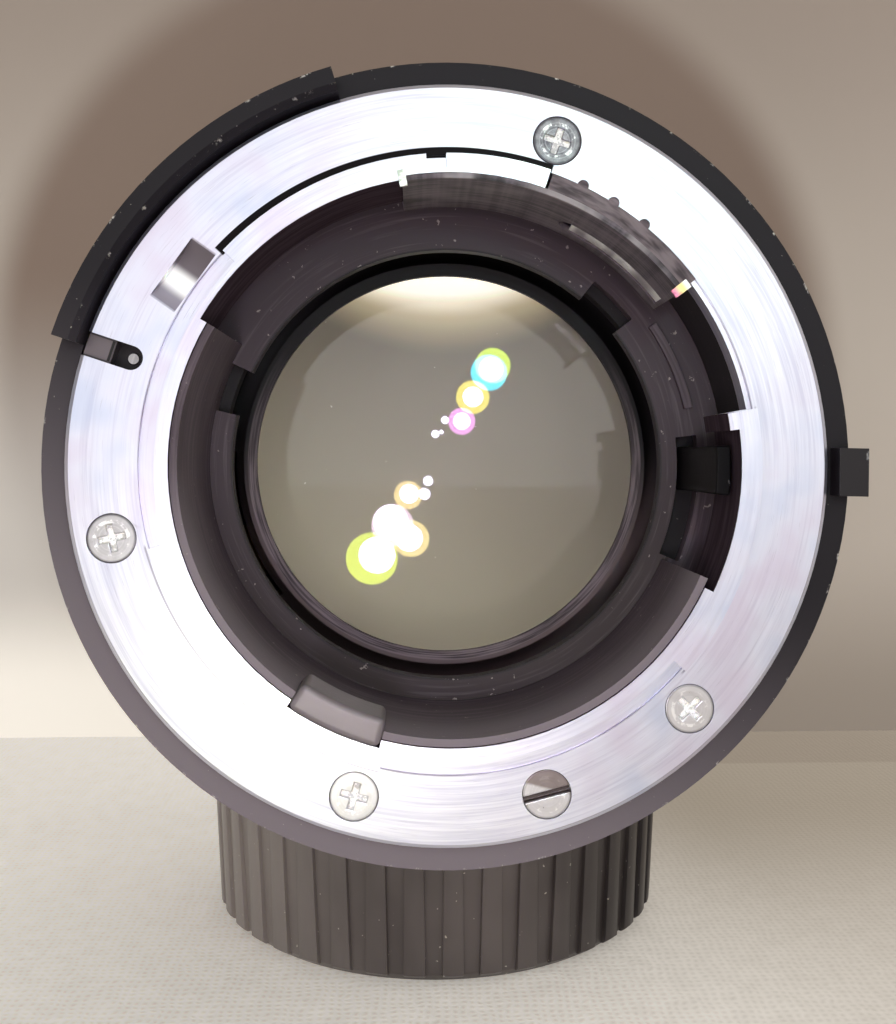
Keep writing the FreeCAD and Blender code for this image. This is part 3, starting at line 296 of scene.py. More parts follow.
def screwFinish(name, places, recessShading, shaded):
    # each head is turned about its own middle, and its recess is bright at the bottom, a painted reflection
    f = Finish(name)
    low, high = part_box("mount_slotted_screw")
    circle = math.hypot(low[0] + high[0], low[2] + high[2]) / 2 / mm
    flat = f.add("ShaderNodeCombineXYZ", sockets={0: f.x, 1: 0.0, 2: f.z})
    spots = [(circle * math.cos(math.radians(a)), 0.0, circle * math.sin(math.radians(a))) for a in places]
    near = f.fold("MINIMUM", [
        f.add("ShaderNodeVectorMath", {"operation": "DISTANCE"}, {0: flat, 1: spot}, output="Value")
        for spot in spots])
    smudge = f.grain(f.place, 1.4, 3.0, 0.6)
    rings = f.grain(f.add("ShaderNodeCombineXYZ", sockets={0: near * 6.0, 1: 0.0, 2: f.y}), 1.0, 2.0, 0.6)
    outline = f.between(near, screwPlaces["faceRadius"], screwPlaces["edge"])
    # the lower heads are paler, painted light; a dark outline at each head's edge has painted shade that makes
    # it stronger higher up; a ring on each face is a painted glint
    colour = f.layers(
        tone(84, 82, 88), (f.between(rings * 0.6 + smudge * 0.4, 0.35, 0.65), tone(160, 158, 163)),
        (f.between(f.z, 18.0, -20.0) * 0.72, tone(234, 232, 235)),
        (outline * f.between(f.z, -24.0, 10.0, 0.5, 1.0), tone(74, 69, 75)),
        (f.window(near, 1.25, 1.4, 0.1) * f.between(smudge, 0.5, 0.6), tone(244, 243, 244)))
    if shaded:  # half of the head is in shade
        colour = f.blend(f.between(f.z + f.x * 0.25, -23.6, -23.3) * 0.8, colour, tone(122, 106, 104))
    # the recess floor carries painted light: a bright painted reflection in the cross heads, painted shade in
    # the slotted one, and painted glints
    recess = f.between(f.y, 0.08, 0.3)
    glints = f.between(f.grain(f.place, 2.6, 2.0, 0.7), 0.4, 0.52)
    colour = f.blend(recess, colour, f.blend(glints, deeper(recessShading, 0.6), recessShading))
    return f.done({"Base Color": colour, "Metallic": 0.9 - recess * 0.9, "Roughness": smudge * 0.25 + 0.2,
                   "Normal": f.bump(rings, 0.4, 0.03)})


def anodised(name, base, worn, roughness, edges, specks=0.0, metal=0.25, gleam=0.5, shiftedTone=None):
    # edges are (radius, y, reach) places round the axis where the colour has worn off
    f = Finish(name)
    cloud = f.grain(f.place, 0.22, 3.0)
    fine = f.grain(f.place, 6.0, 2.0, 0.6)
    turned = f.grain(f.turning(4.0, 5.0, 4.0), 1.0, 2.0)
    rubbed = f.between(f.grain(f.place, 1.1, 4.0, 0.7), 0.58, 0.7)
    colour = f.blend(f.between(cloud, 0.3, 0.75) * 0.45, base, deeper(base, 1.35))
    if shiftedTone:  # paler on one side, painted light
        colour = f.blend(f.between(f.z + f.x * 0.45, 4.0, -33.0) * 0.8, colour, shiftedTone)
    wears = []
    for radius, y, reach in edges:
        near = f.fold("MAXIMUM", [f.maths("ABSOLUTE", f.radius - radius), f.maths("ABSOLUTE", f.y - y)])
        wears.append(f.between(near, reach, reach * 0.3) * rubbed)
    if specks:
        wears.append(f.between(f.grain(f.place, 3.3, 2.0, 0.5), 0.735, 0.77) * specks)
    wear = f.fold("MAXIMUM", wears)
    gloss = fine * 0.12 + turned * 0.08 + cloud * 0.08 + (roughness - 0.14)
    return f.done({
        "Base Color": f.blend(wear, colour, worn), "Metallic": wear * 0.7 + metal,
        "Roughness": gloss * (1 - wear * 0.4), "Normal": f.bump(fine, 0.25, 0.015),
        "Specular IOR Level": gleam})


def mattBlack(name, base, roughness=0.62):
    f = Finish(name)
    fine = f.grain(f.place, 7.0, 2.0, 0.7)
    turned = f.grain(f.turning(2.2, 3.0, 2.0), 1.0, 3.0)
    dust = f.between(f.grain(f.place, 1.9, 3.0, 0.6), 0.68, 0.74)
    colour = f.layers(base, (f.between(turned, 0.3, 0.75) * 0.5, deeper(base, 1.7)),
                      (dust * 0.25, tone(150, 140, 132)))
    return f.done({"Base Color": colour, "Roughness": fine * 0.1 + turned * 0.12 + (roughness - 0.1),
                   "Normal": f.bump(fine, 0.3, 0.02), "Specular IOR Level": 0.25})


def paint(name, colour):
    f = Finish(name)
    grain = f.grain(f.place, 5.0, 2.0)
    shiftedTone = f.blend(f.between(grain, 0.35, 0.75) * 0.3, colour, deeper(colour, 0.7))
    return f.done({"Base Color": shiftedTone, "Roughness": grain * 0.1 + 0.5})


def guardFinish():
    # streaked black outside, blotched mauve grey inside, with a worn brim
    f = Finish("guardMetal")
    streak = f.grain(f.turning(1.2, 3.0, 2.4), 1.0, 3.0, 0.6)
    columns = f.grain(f.turning(0.0, 30.0), 1.0, 2.0, 0.6)
    patch = f.grain(f.turning(0.2, 5.0, 0.3), 1.0, 2.0)
    blotch = f.grain(f.turning(1.6, 9.0, 2.0), 1.0, 2.0, 0.6)
    mauve = f.blend(f.between(blotch * 0.6 + streak * 0.4, 0.38, 0.62), tone(66, 56, 60), tone(122, 108, 112))
    rim = f.between(f.radius, 21.8, 22.1) * f.between(f.y, 2.0, 1.0)
    brim = f.window(f.y, -4.75, -4.45, 0.05) * f.between(patch, 0.42, 0.6)
    mixed = streak * 0.5 + columns * 0.25 + patch * 0.25
    colour = f.layers(tone(32, 26, 30), (f.between(mixed, 0.38, 0.62), tone(108, 98, 104)), (rim, mauve),
                      (brim * 0.5, tone(170, 162, 162)))
    return f.done({"Base Color": colour, "Metallic": rim * 0.3 + 0.1,
                   "Roughness": streak * 0.2 + columns * 0.1 + 0.36, "Specular IOR Level": 0.3,
                   "Normal": f.bump(streak, 0.25, 0.02)})


def baffleFinish():
    # the plate is brown-black and darkest below, a painted shadow; the sleeve round it is mauve grey, paler at
    # its lower rear end
    f = Finish("baffleBlack")
    fine = f.grain(f.place, 7.0, 2.0, 0.7)
    turned = f.grain(f.turning(2.6, 2.2, 2.0), 1.0, 3.0, 0.6)
    plate = f.blend(f.between(f.z, -14.0, 8.0), tone(50, 41, 41), tone(58, 47, 53))
    wall = f.layers(tone(60, 49, 55), (f.between(turned, 0.35, 0.7), tone(82, 70, 77)),
                    (f.between(f.y, 3.0, -4.0) * f.between(f.z, 2.0, -8.0), tone(112, 102, 107)))
    lowerWall = f.between(f.radius, 20.9, 21.1) * f.between(f.z, 0.0, -6.0)
    rise = f.maths("MAXIMUM", f.between(f.y, 7.9, 7.6), lowerWall)
    dust = f.between(f.grain(f.place, 1.7, 3.0, 0.6), 0.69, 0.73)
    colour = f.layers(
        plate, (rise, wall), (f.between(turned, 0.5, 0.75) * 0.3, tone(110, 100, 104)),
        (f.between(f.radius, 18.62, 18.5) * 0.8, tone(26, 22, 24)), (dust * 0.5, tone(176, 164, 158)))
    return f.done({"Base Color": colour, "Roughness": fine * 0.1 + turned * 0.14 + 0.44,
                   "Normal": f.bump(fine * 0.6 + turned * 0.4, 0.3, 0.02), "Specular IOR Level": 0.3})


def glintStripFinish():
    # a pale strip whose colour is a painted highlight, with grey patches along it
    f = Finish("glintStrip")
    patch = f.grain(f.turning(0.0, 9.0), 1.0, 2.0, 0.6)
    fine = f.grain(f.turning(1.0, 30.0, 3.0), 1.0, 2.0)
    colour = f.layers(tone(150, 144, 146), (f.between(patch, 0.34, 0.6), tone(244, 243, 240)),
                      (f.between(fine, 0.55, 0.75) * 0.4, tone(110, 104, 106)))
    return f.done({"Base Color": colour, "Metallic": 0.1, "Roughness": fine * 0.2 + 0.25})


def glintTipFinish():
    # small tips whose colour is a painted glint: white on the left, tinted pink and yellow on the right
    f = Finish("glintTip")
    patch = f.grain(f.place, 1.6, 2.0, 0.6)
    pale = f.blend(f.between(patch, 0.4, 0.6), tone(255, 255, 250), tone(190, 206, 188))
    warmLight = f.layers(tone(214, 120, 150), (f.between(f.radius, 20.9, 21.5), tone(250, 226, 150)),
                    (f.between(f.radius, 21.6, 22.0), tone(255, 253, 250)))
    return f.done({"Base Color": f.blend(f.between(f.x, 4.0, 6.0), pale, warmLight), "Metallic": 0.2,
                   "Roughness": patch * 0.2 + 0.2})


def cellFinish():
    # the rear cell: black outside and lighter below, painted light, with a streaky lighter rim round the glass
    # that is a painted highlight, strongest below
    f = Finish("cellBlack")
    streak = f.grain(f.turning(5.0, 3.0, 1.0), 1.0, 3.0, 0.6)
    rimHighlight = f.blend(f.between(streak, 0.35, 0.65), tone(56, 47, 50), tone(112, 100, 103))
    rim = f.between(f.y, 14.2, 13.6) * f.between(f.z, 12.0, -4.0) * f.between(f.radius, 17.95, 17.8)
    colour = f.layers(tone(14, 11, 13), (f.between(f.z, 3.0, -10.0), tone(88, 75, 75)), (rim, rimHighlight))
    return f.done({"Base Color": colour, "Roughness": streak * 0.2 + 0.5, "Specular IOR Level": 0.2,
                   "Normal": f.bump(streak, 0.3, 0.02)})


def rubberFinish():
    f = Finish("gripRubber")
    fine = f.grain(f.place, 4.0, 3.0, 0.7)
    bloom = f.between(f.grain(f.place, 0.15, 2.0), 0.45, 0.75)
    colour = f.blend(bloom * 0.5, tone(30, 29, 30), tone(52, 50, 50))
    return f.done({"Base Color": colour, "Roughness": fine * 0.15 + 0.55, "Normal": f.bump(fine, 0.35, 0.04)})


def feltFinish():
    f = Finish("hoodFelt")
    fibre = f.grain(f.place, 9.0, 4.0, 0.8, 1.5)
    colour = f.blend(fibre, tone(18, 17, 18), tone(58, 55, 56))
    return f.done({"Base Color": colour, "Roughness": 0.95, "Sheen Weight": 0.4,
                   "Normal": f.bump(fibre, 0.9, 0.12)})


def capFinish():
    # paler to the left, painted light, and dark to the right, painted shade, with dust specks and rubbed ends
    # on the ribs
    f = Finish("capPlastic")
    fine = f.grain(f.place, 6.0, 3.0, 0.65)
    cloud = f.grain(f.place, 0.09, 2.0)
    smear = f.grain(f.turning(0.02, 0.3, 0.05), 1.0, 2.0)
    dust = f.between(f.grain(f.place, 1.5, 2.0, 0.5), 0.735, 0.76)
    rubbed = f.window(f.z, -34.05, -33.2, 0.25) * f.between(f.grain(f.place, 0.6, 3.0, 0.6), 0.55, 0.62)
    colour = f.layers(
        tone(70, 62, 60), (f.between(cloud * 0.6 + smear * 0.4, 0.35, 0.65), tone(96, 87, 84)),
        (f.between(f.x, -4.0, -26.0) * 0.75, tone(170, 160, 153)),
        (f.between(f.x, 6.0, 25.0) * 0.8, tone(27, 22, 21)), (dust * 0.7, tone(206, 198, 184)),
        (rubbed * 0.75, tone(196, 188, 172)))
    return f.done({"Base Color": colour, "Roughness": fine * 0.16 + cloud * 0.1 + 0.3,
                   "Normal": f.bump(fine, 0.3, 0.03)})


def clearGlass(name, tint, coating):
    # real glass with its coating's tint, and a little haze that grows towards the rim
    f = Finish(name)
    smear = f.between(f.grain(f.place, 0.25, 3.0, 0.6), 0.5, 0.8)
    glossy = f.add("ShaderNodeBsdfGlass", sockets={"Color": tint, "Roughness": 0.0, "IOR": 1.5})
    haze = f.between(smear + f.between(f.radius, 4.0, 24.0), 0.0, 2.0, 0.985, 0.96)
    return f.done({"Base Color": coating, "Roughness": 0.15, "Coat Weight": 1.0}, mixWith=glossy, factor=haze)


def rearGlassFinish():
    # the coated rear group is a mostly opaque painted olive field that stands for the view through the glass,
    # lighter to the lower left, with a cream crescent at the top that is a painted reflection and glows,
    # specks, and a paler rim below that is a painted highlight
    f = Finish("rearGlass")
    reach = f.z - f.x * f.x * 0.025
    warmLight, crescentCore = f.between(reach, 9.6, 15.2), f.between(reach, 13.0, 16.6)
    speck = f.between(f.grain(f.place, 1.6, 2.0, 0.5), 0.76, 0.79)
    rim = f.between(f.radius, 17.0, 17.5) * f.between(f.z, 10.0, 2.0)
    field = f.layers(
        tone(115, 106, 97), (f.between(f.x * -0.6 - f.z, -16.0, 20.0), tone(151, 142, 121)),
        (f.between(f.grain(f.place, 0.07, 1.0), 0.35, 0.7) * 0.35, tone(138, 129, 116)),
        (warmLight * 0.9, tone(226, 208, 172)), (crescentCore, tone(255, 251, 238)), (speck * 0.5, tone(226, 220, 206)),
        (rim * 0.55, tone(206, 196, 176)))
    shine = f.layers(unlit, (warmLight, (0.07, 0.055, 0.03, 1.0)), (crescentCore, (0.62, 0.58, 0.5, 1.0)))
    clear = f.add("ShaderNodeBsdfGlass", sockets={
        "Color": (0.95, 0.96, 0.93, 1.0), "Roughness": 0.0, "IOR": 1.5})
    return f.done({"Base Color": field, "Emission Color": shine, "Emission Strength": 1.0,
                   "Roughness": 0.4, "Coat Weight": 1.0, "Coat Roughness": 0.015,
                   "Coat IOR": 1.6, "Specular IOR Level": 0.1}, mixWith=clear, factor=0.06)


def bladeFinish():
    f = Finish("bladeSteel")
    streak = f.grain(f.turning(6.0, 3.0), 1.0, 3.0)
    colour = f.blend(streak, tone(46, 45, 48), tone(84, 82, 86))
    return f.done({"Base Color": colour, "Metallic": 0.8, "Roughness": streak * 0.2 + 0.32,
                   "Normal": f.bump(streak, 0.15, 0.01)})


def greasedMetal(name, bright, shade):
    f = Finish(name)
    streak = f.grain(f.turning(3.0, 3.0, 8.0), 1.0, 3.0)
    cloud = f.grain(f.place, 0.3, 3.0)
    return f.done({"Base Color": f.blend(streak, shade, bright), "Metallic": 0.9, "Coat Weight": cloud,
                   "Roughness": cloud * 0.2 + 0.28, "Normal": f.bump(streak, 0.3, 0.02)})


finishes = {
    "mount": mountFinish(),
    "screw": screwFinish("screwSteel", screwPlaces["cross"], tone(255, 253, 250), False),
    "slotScrew": screwFinish("slottedSteel", screwPlaces["slotted"], tone(74, 60, 60), True),
    "guard": guardFinish(),
    "baffle": baffleFinish(),
    "cell": cellFinish(),
    "glintStrip": glintStripFinish(),
    "glintTip": glintTipFinish(),
    "matt": mattBlack("mattBlack", tone(18, 14, 17)),
    "innerBlack": mattBlack("barrelBlack", tone(32, 28, 30), 0.5),
    "lever": anodised("leverBlack", tone(11, 9, 11), tone(150, 146, 144), 0.55, [(21.3, -3.0, 0.25)],
                      metal=0.0, gleam=0.08),
    "post": anodised("postGrey", tone(112, 104, 106), tone(170, 164, 160), 0.45, [(19.3, -5.0, 0.3)]),
    "ring": anodised("ringBlack", tone(21, 17, 22), tone(186, 180, 172), 0.5,
                     [(32.1, 1.2, 0.2), (32.1, -1.4, 0.2), (30.6, -1.3, 0.25), (32.1, 8.4, 0.2)],
                     specks=0.5, metal=0.0, gleam=0.22, shiftedTone=tone(126, 116, 121)),
    "servo": anodised("servoBlack", tone(18, 12, 17), tone(150, 150, 150), 0.42, [(32.9, -0.7, 0.2)],
                      metal=0.0, gleam=0.35),
    "barrel": anodised("barrelAnodised", tone(34, 33, 36), tone(160, 156, 150), 0.4,
                       [(31.5, 91.0, 0.5), (31.6, 20.6, 0.4), (31.2, 60.0, 0.4)], specks=0.5),
    "chrome": turnedMetal("satinChrome", tone(206, 205, 208), tone(164, 163, 167), 0.36, 3.0),
    "steel": turnedMetal("plainSteel", tone(170, 168, 168), tone(120, 118, 120), 0.3),
    "brass": greasedMetal("greasedBrass", tone(190, 154, 86), tone(128, 96, 48)),
    "blade": bladeFinish(),
    "rubber": rubberFinish(),
    "felt": feltFinish(),
    "cap": capFinish(),
    "frontGlass": clearGlass("frontGlass", (0.93, 0.89, 0.945, 1.0), (0.86, 0.72, 0.9, 1.0)),
    "midGlass": clearGlass("middleGlass", (0.965, 0.94, 0.87, 1.0), (0.95, 0.86, 0.68, 1.0)),
    "rearGlass": rearGlassFinish(),
    "white": paint("whiteFill", tone(232, 230, 222)),
    "orange": paint("orangeFill", tone(226, 122, 40)),
    "black": paint("blackFill", tone(26, 26, 28)),
}
print("finishes made:", len(finishes))


# Mesh helpers

def meshFrom(shape, name, finish, body, stands=(), sharp=32.0):
    # one object from a bmesh in millimetres, riding on its body and standing for CAD nodes
    mesh = bpy.data.meshes.new(name)
    bmesh.ops.scale(shape, vec=(mm, mm, mm), verts=shape.verts)
    shape.to_mesh(mesh)
    shape.free()
    return wrapMesh(mesh, name, finish, body, stands, sharp)


def wrapMesh(mesh, name, finish, body, stands=(), sharp=32.0):
    mesh.name = name
    mesh.materials.clear()
    mesh.materials.append(finishes[finish])
    if sharp:
        mesh.shade_smooth()
        mesh.set_sharp_from_angle(angle=math.radians(sharp))
    piece = bpy.data.objects.new(name, mesh)
    bpy.context.scene.collection.objects.link(piece)
    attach(piece, body)
    if stands:
        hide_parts(*stands)
    return piece


def softened(outline, reach, steps=3, flat=150.0):
    # rounds the corners of a closed outline of (radius, y) points
    points = [Vector(p) for p in outline]
    rounded = []
    for k, corner in enumerate(points):
        before, after = points[k - 1], points[(k + 1) % len(points)]
        back, ahead = before - corner, after - corner
        size = min(reach, back.length * 0.4, ahead.length * 0.4)
        if math.degrees(back.angle(ahead)) > flat or corner.x < 0.001:
            rounded.append(corner)
            continue
        start, end = corner + back.normalized() * size, corner + ahead.normalized() * size
        for step in range(steps + 1):
            t = step / steps
            rounded.append(start * (1 - t) ** 2 + corner * 2 * t * (1 - t) + end * t ** 2)
    return [(p.x, p.y) for p in rounded]


def lathe(outline, steps=216, start=0.0, end=fullTurn, into=None):
    # a closed outline turned about the optical axis
    shape = into or bmesh.new()
    closed = end - start >= fullTurn
    count = steps if closed else max(2, round(steps * (end - start) / fullTurn))
    rows = []
    for k in range(count if closed else count + 1):
        turn = math.radians(start + (end - start) * k / count)
        rows.append([shape.verts.new((r * math.cos(turn), y, r * math.sin(turn))) for r, y in outline])
    size = len(outline)
    faces = []
    for k in range(count):
        here, there = rows[k], rows[(k + 1) % len(rows)]
        for i in range(size):
            j = (i + 1) % size
            if outline[i][0] > 1e-6 or outline[j][0] > 1e-6:
                faces.append(shape.faces.new((here[i], here[j], there[j], there[i])))
    if not closed:
        faces.append(shape.faces.new(rows[0]))
        faces.append(shape.faces.new(list(reversed(rows[-1]))))
    bmesh.ops.remove_doubles(shape, verts=[v for row in rows for v in row], dist=1e-5)
    faces = [face for face in faces if face.is_valid]
    bmesh.ops.recalc_face_normals(shape, faces=faces)
    return shape


def band(inner, outer, back, front, rounding):  # the outline of a plain ring with rounded corners
    return softened([(inner, back), (outer, back), (outer, front), (inner, front)], rounding)


def dome(curve, radius, edge, side, steps=18):  # points of a spherical face from the axis to its rim
    middle = edge + side * (curve - math.sqrt(curve * curve - radius * radius))
    angles = [math.asin(radius / curve) * k / steps for k in range(steps + 1)]
    return [(curve * math.sin(a), middle - side * curve * (1 - math.cos(a))) for a in angles]


def edged(name, finish, slot, width, segments=2, sharp=28.0):
    # a CAD node's own shape with its doubles merged and its edges rounded, standing for the node
    shape = bmesh.new()
    shape.from_mesh(nodes[name].data)
    bmesh.ops.remove_doubles(shape, verts=shape.verts, dist=1e-6)
    bmesh.ops.dissolve_limit(shape, angle_limit=math.radians(0.4), verts=shape.verts, edges=shape.edges)
    mesh = bpy.data.meshes.new(name + "Edged")
    for edge in shape.edges:
        edge.smooth = True
    shape.to_mesh(mesh)
    shape.free()
    mesh.shade_smooth()
    work = bpy.data.objects.new(name + "Work", mesh)
    bpy.context.scene.collection.objects.link(work)
    rounding = work.modifiers.new("rounding", "BEVEL")
    rounding.width = width * mm
    rounding.segments = segments
    rounding.limit_method = "ANGLE"
    rounding.angle_limit = math.radians(sharp)
    rounding.use_clamp_overlap = True
    weighted = work.modifiers.new("weighted", "WEIGHTED_NORMAL")
    weighted.keep_sharp = False
    weighted.weight = 100
    body = nodes[name]["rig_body"]
    made = bake(work)
    bpy.data.objects.remove(work)
    return wrapMesh(made, name + "_edged", finish, body, (name,), 0)


def bake(work):
    bpy.context.view_layer.update()
    graph = bpy.context.evaluated_depsgraph_get()
    return bpy.data.meshes.new_from_object(work.evaluated_get(graph), depsgraph=graph)


# Geometry Nodes: one piece repeated round an axis

def ringTree():
    tree = bpy.data.node_groups.new("piecesRoundAnAxis", "GeometryNodeTree")
    sockets = [
        ("Piece", "NodeSocketObject"), ("Count", "NodeSocketInt"), ("Radius", "NodeSocketFloat"),
        ("Start", "NodeSocketFloat"), ("Step", "NodeSocketFloat"), ("Height", "NodeSocketFloat"),
        ("Rise", "NodeSocketFloat"), ("Tilt", "NodeSocketFloat"), ("Unevenness", "NodeSocketFloat"),
        ("Seed", "NodeSocketInt"), ("Finish", "NodeSocketMaterial"),
    ]
    for name, kind in sockets:
        tree.interface.new_socket(name, in_out="INPUT", socket_type=kind)
    tree.interface.new_socket("Geometry", in_out="OUTPUT", socket_type="NodeSocketGeometry")
    b = Bench(tree)
    given = b.add("NodeGroupInput")
    number = b.add("GeometryNodeInputIndex")
    turn = given.out("Start") + given.out("Step") * number
    far = given.out("Radius")
    spot = b.add("ShaderNodeCombineXYZ", sockets={
        0: far * b.maths("COSINE", turn), 1: given.out("Height") + given.out("Rise") * number,
        2: far * b.maths("SINE", turn)})
    points = b.add("GeometryNodePoints", sockets={"Count": given.out("Count"), "Position": spot})
    lean = b.add("FunctionNodeRandomValue", {"data_type": "FLOAT"},
                 {2: given.out("Tilt") * -1, 3: given.out("Tilt"), "Seed": given.out("Seed")}, output=1)
    spread = b.add("FunctionNodeRandomValue", {"data_type": "FLOAT"},
                   {2: 1 - given.out("Unevenness"), 3: 1 + given.out("Unevenness"),
                    "Seed": given.out("Seed") + 7}, output=1)
    facing = b.add("ShaderNodeCombineXYZ", sockets={0: lean, 1: turn * -1, 2: 0.0})
    grown = b.add("ShaderNodeCombineXYZ", sockets={0: 1.0, 1: 1.0, 2: spread})
    shown = b.add("GeometryNodeObjectInfo", sockets={"Object": given.out("Piece")}, output="Geometry")
    placed = b.add("GeometryNodeInstanceOnPoints", sockets={
        "Points": points, "Instance": shown, "Rotation": facing, "Scale": grown})
    real = b.add("GeometryNodeRealizeInstances", sockets={"Geometry": placed})
    dressed = b.add("GeometryNodeSetMaterial", sockets={"Geometry": real, "Material": given.out("Finish")})
    b.add("NodeGroupOutput", sockets={"Geometry": dressed})
    return tree


piecesRoundAnAxis = ringTree()


def repeated(shape, sizes, finish):
    # a bmesh in millimetres repeated by the node tree, baked to a plain mesh in metres
    bmesh.ops.scale(shape, vec=(mm, mm, mm), verts=shape.verts)
    source = bpy.data.meshes.new("onePiece")
    shape.to_mesh(source)
    shape.free()
    one = bpy.data.objects.new("onePiece", source)
    bpy.context.scene.collection.objects.link(one)
    work = bpy.data.objects.new("repeatWork", bpy.data.meshes.new("repeatWork"))
    bpy.context.scene.collection.objects.link(work)
    modifier = work.modifiers.new("repeat", "NODES")
    modifier.node_group = piecesRoundAnAxis
    sockets = piecesRoundAnAxis.interface.items_tree
    ids = {socket.name: socket.identifier for socket in sockets if socket.in_out == "INPUT"}
    values = {"Piece": one, "Finish": finishes[finish], "Count": 1, "Radius": 0.0, "Start": 0.0, "Step": 0.0,
              "Height": 0.0, "Rise": 0.0, "Tilt": 0.0, "Unevenness": 0.0, "Seed": 3}
    for name, value in {**values, **sizes}.items():
        if name in ("Radius", "Height", "Rise"):
            value = value * mm
        elif name in ("Start", "Step", "Tilt"):
            value = math.radians(value)
        modifier[ids[name]] = value
    made = bake(work)
    work.modifiers.clear()
    bpy.data.objects.remove(work)
    bpy.data.objects.remove(one)
    return made


def joined(meshes):
    # several plain meshes in metres as one bmesh in millimetres
    shape = bmesh.new()
    for mesh in meshes:
        shape.from_mesh(mesh)
        bpy.data.meshes.remove(mesh)
    bmesh.ops.scale(shape, vec=(1 / mm, 1 / mm, 1 / mm), verts=shape.verts)
    return shape


def brick(width, height, depth, bevel, taper=1.0):
    # a block standing on the X axis: depth outwards along X, height along Y, width along Z
    shape = bmesh.new()
    bmesh.ops.create_cube(shape, size=1.0)
    for v in shape.verts:
        share = taper if v.co.x > 0 else 1.0
        v.co = Vector((v.co.x * depth, v.co.y * height * share, v.co.z * width * share))
    if bevel:
        bmesh.ops.bevel(shape, geom=shape.edges[:], offset=bevel, segments=1, affect="EDGES")
    return shape


# Lettering and marks on the rings

letterSizes = {"height": 0.04, "lift": 0.02, "curveSteps": 3}


def lettering(words, radius, turnLetters=0.0):
    # words are (text, angle, y, size): each is laid round the ring and reads from behind, top to the front
    shape = bmesh.new()
    for text, angle, y, size in words:
        curve = bpy.data.curves.new("letters", "FONT")
        curve.body = text
        curve.size = size
        curve.align_x = "CENTER"
        curve.align_y = "CENTER"
        curve.resolution_u = letterSizes["curveSteps"]
        curve.extrude = letterSizes["height"] / 2
        work = bpy.data.objects.new("letters", curve)
        bpy.context.scene.collection.objects.link(work)
        mesh = bake(work)
        bpy.data.objects.remove(work)
        mesh.transform(Matrix.Rotation(math.radians(turnLetters), 4, "Z"))
        for v in mesh.vertices:
            turn = math.radians(angle) - v.co.x / radius
            far = radius + letterSizes["lift"] + v.co.z
            v.co = (far * math.cos(turn), y + v.co.y, far * math.sin(turn))
        shape.from_mesh(mesh)
        bpy.data.meshes.remove(mesh)
    return shape


print("tools ready")


# Mount: flange, screws, guard, post and light trap, and the aperture ring behind them

mountPieces = {  # node: finish, slot, edge rounding and its segments if not 2
    "mount_flange": ("mount", "mount_metal", 0.09),
    "mount_cross_screws": ("screw", "screw_metal", 0.1),
    "mount_slotted_screw": ("slotScrew", "screw_metal", 0.1),
    "lever_guard": ("guard", "guard_metal", 0.06),
    "speed_index_post": ("post", "baffle_grey", 0.5, 4),
    "rear_light_baffle": ("baffle", "baffle_grey", 0.08),
    "stop_down_lever": ("lever", "lever_metal", 0.15),
    "aperture_ring": ("ring", "ring_anodised", 0.12),
    "servo_post": ("servo", "servo_black", 0.2),
}
for name, looks in mountPieces.items():
    edged(name, *looks)

# a pale strip seen through the guard's slot and two small tips at the guard's ends are pieces that carry
# painted highlights
glintSizes = {"strip": (21.42, 21.6, 0.55, 2.75), "stripAngles": (37.7, 63.0), "stripRounding": 0.05,
               "endBack": -4.97, "endFront": -4.68, "endRounding": 0.12,
               # inner and outer radius, from and to angle
               "ends": ((20.9, 22.15, 99.2, 100.7), (20.75, 22.2, 36.7, 38.5))}
strip = lathe(band(*glintSizes["strip"], glintSizes["stripRounding"]), 360, *glintSizes["stripAngles"])
meshFrom(strip, "guard_spring", "glintStrip", "mount_and_barrel")
glintTips = bmesh.new()
for inner, outer, start, end in glintSizes["ends"]:
    outline = band(inner, outer, glintSizes["endBack"], glintSizes["endFront"], glintSizes["endRounding"])
    lathe(outline, 720, start, end, into=glintTips)
meshFrom(glintTips, "guard_spring_ends", "glintTip", "mount_and_barrel")

seatSizes = {"radius": 0.55, "face": 0.42, "bevel": 0.14, "length": 0.6}
seat = lathe([(0.0, 0.0), (seatSizes["face"], 0.0), (seatSizes["radius"], seatSizes["bevel"]),
              (seatSizes["radius"], seatSizes["length"]), (0.0, seatSizes["length"])], 32)
slotTurn = math.radians(lockSlot["angle"])
bmesh.ops.translate(seat, vec=(lockSlot["middle"] * math.cos(slotTurn), lockSlot["floor"],
                               lockSlot["middle"] * math.sin(slotTurn)), verts=seat.verts)
meshFrom(seat, "lock_hole_seat", "steel", "mount_and_barrel")
print("mount dressed")

# Scales

distanceScale = {"focal": 135.0, "travel": 15.7, "turn": 270.0, "radius": 31.6, "size": 2.1,
                 "metres": (1.5, 1.7, 2, 2.5, 3, 4, 5, 7, 10, 20), "metresAt": 23.6,
                 "feet": (5, 6, 7, 8, 10, 12, 15, 20, 30, 60), "feetAt": 27.4,
                 "endlessAt": 25.5, "endlessSize": 2.6}
apertureScale = {"numbers": ("2.8", "4", "5.6", "8", "11", "16", "22", "32"), "step": 7.0, "radius": 31.6,
                 "at": 11.2, "size": 2.3, "tick": (0.2, 0.9), "ticksAt": 13.15}
depthScale = {"numbers": {"32": 16.5, "22": 11.4, "16": 7.6}, "bare": 4.1, "radius": 31.5, "at": 15.9,
              "size": 1.5, "tick": (0.18, 1.6), "ticksAt": 18.2, "index": (0.34, 3.9), "indexAt": 17.1}
markDepth = 0.05
foot = 0.3048


def focusTurn(metres):
    ratio = metres * 1000 / distanceScale["focal"] - 2
    scale = (ratio - math.sqrt(ratio * ratio - 4)) / 2
    return distanceScale["focal"] * scale / distanceScale["travel"] * distanceScale["turn"]


def bars(size, sizes, finish):  # thin bars on a ring, width by length
    return repeated(brick(*size, markDepth, 0.0), sizes, finish)


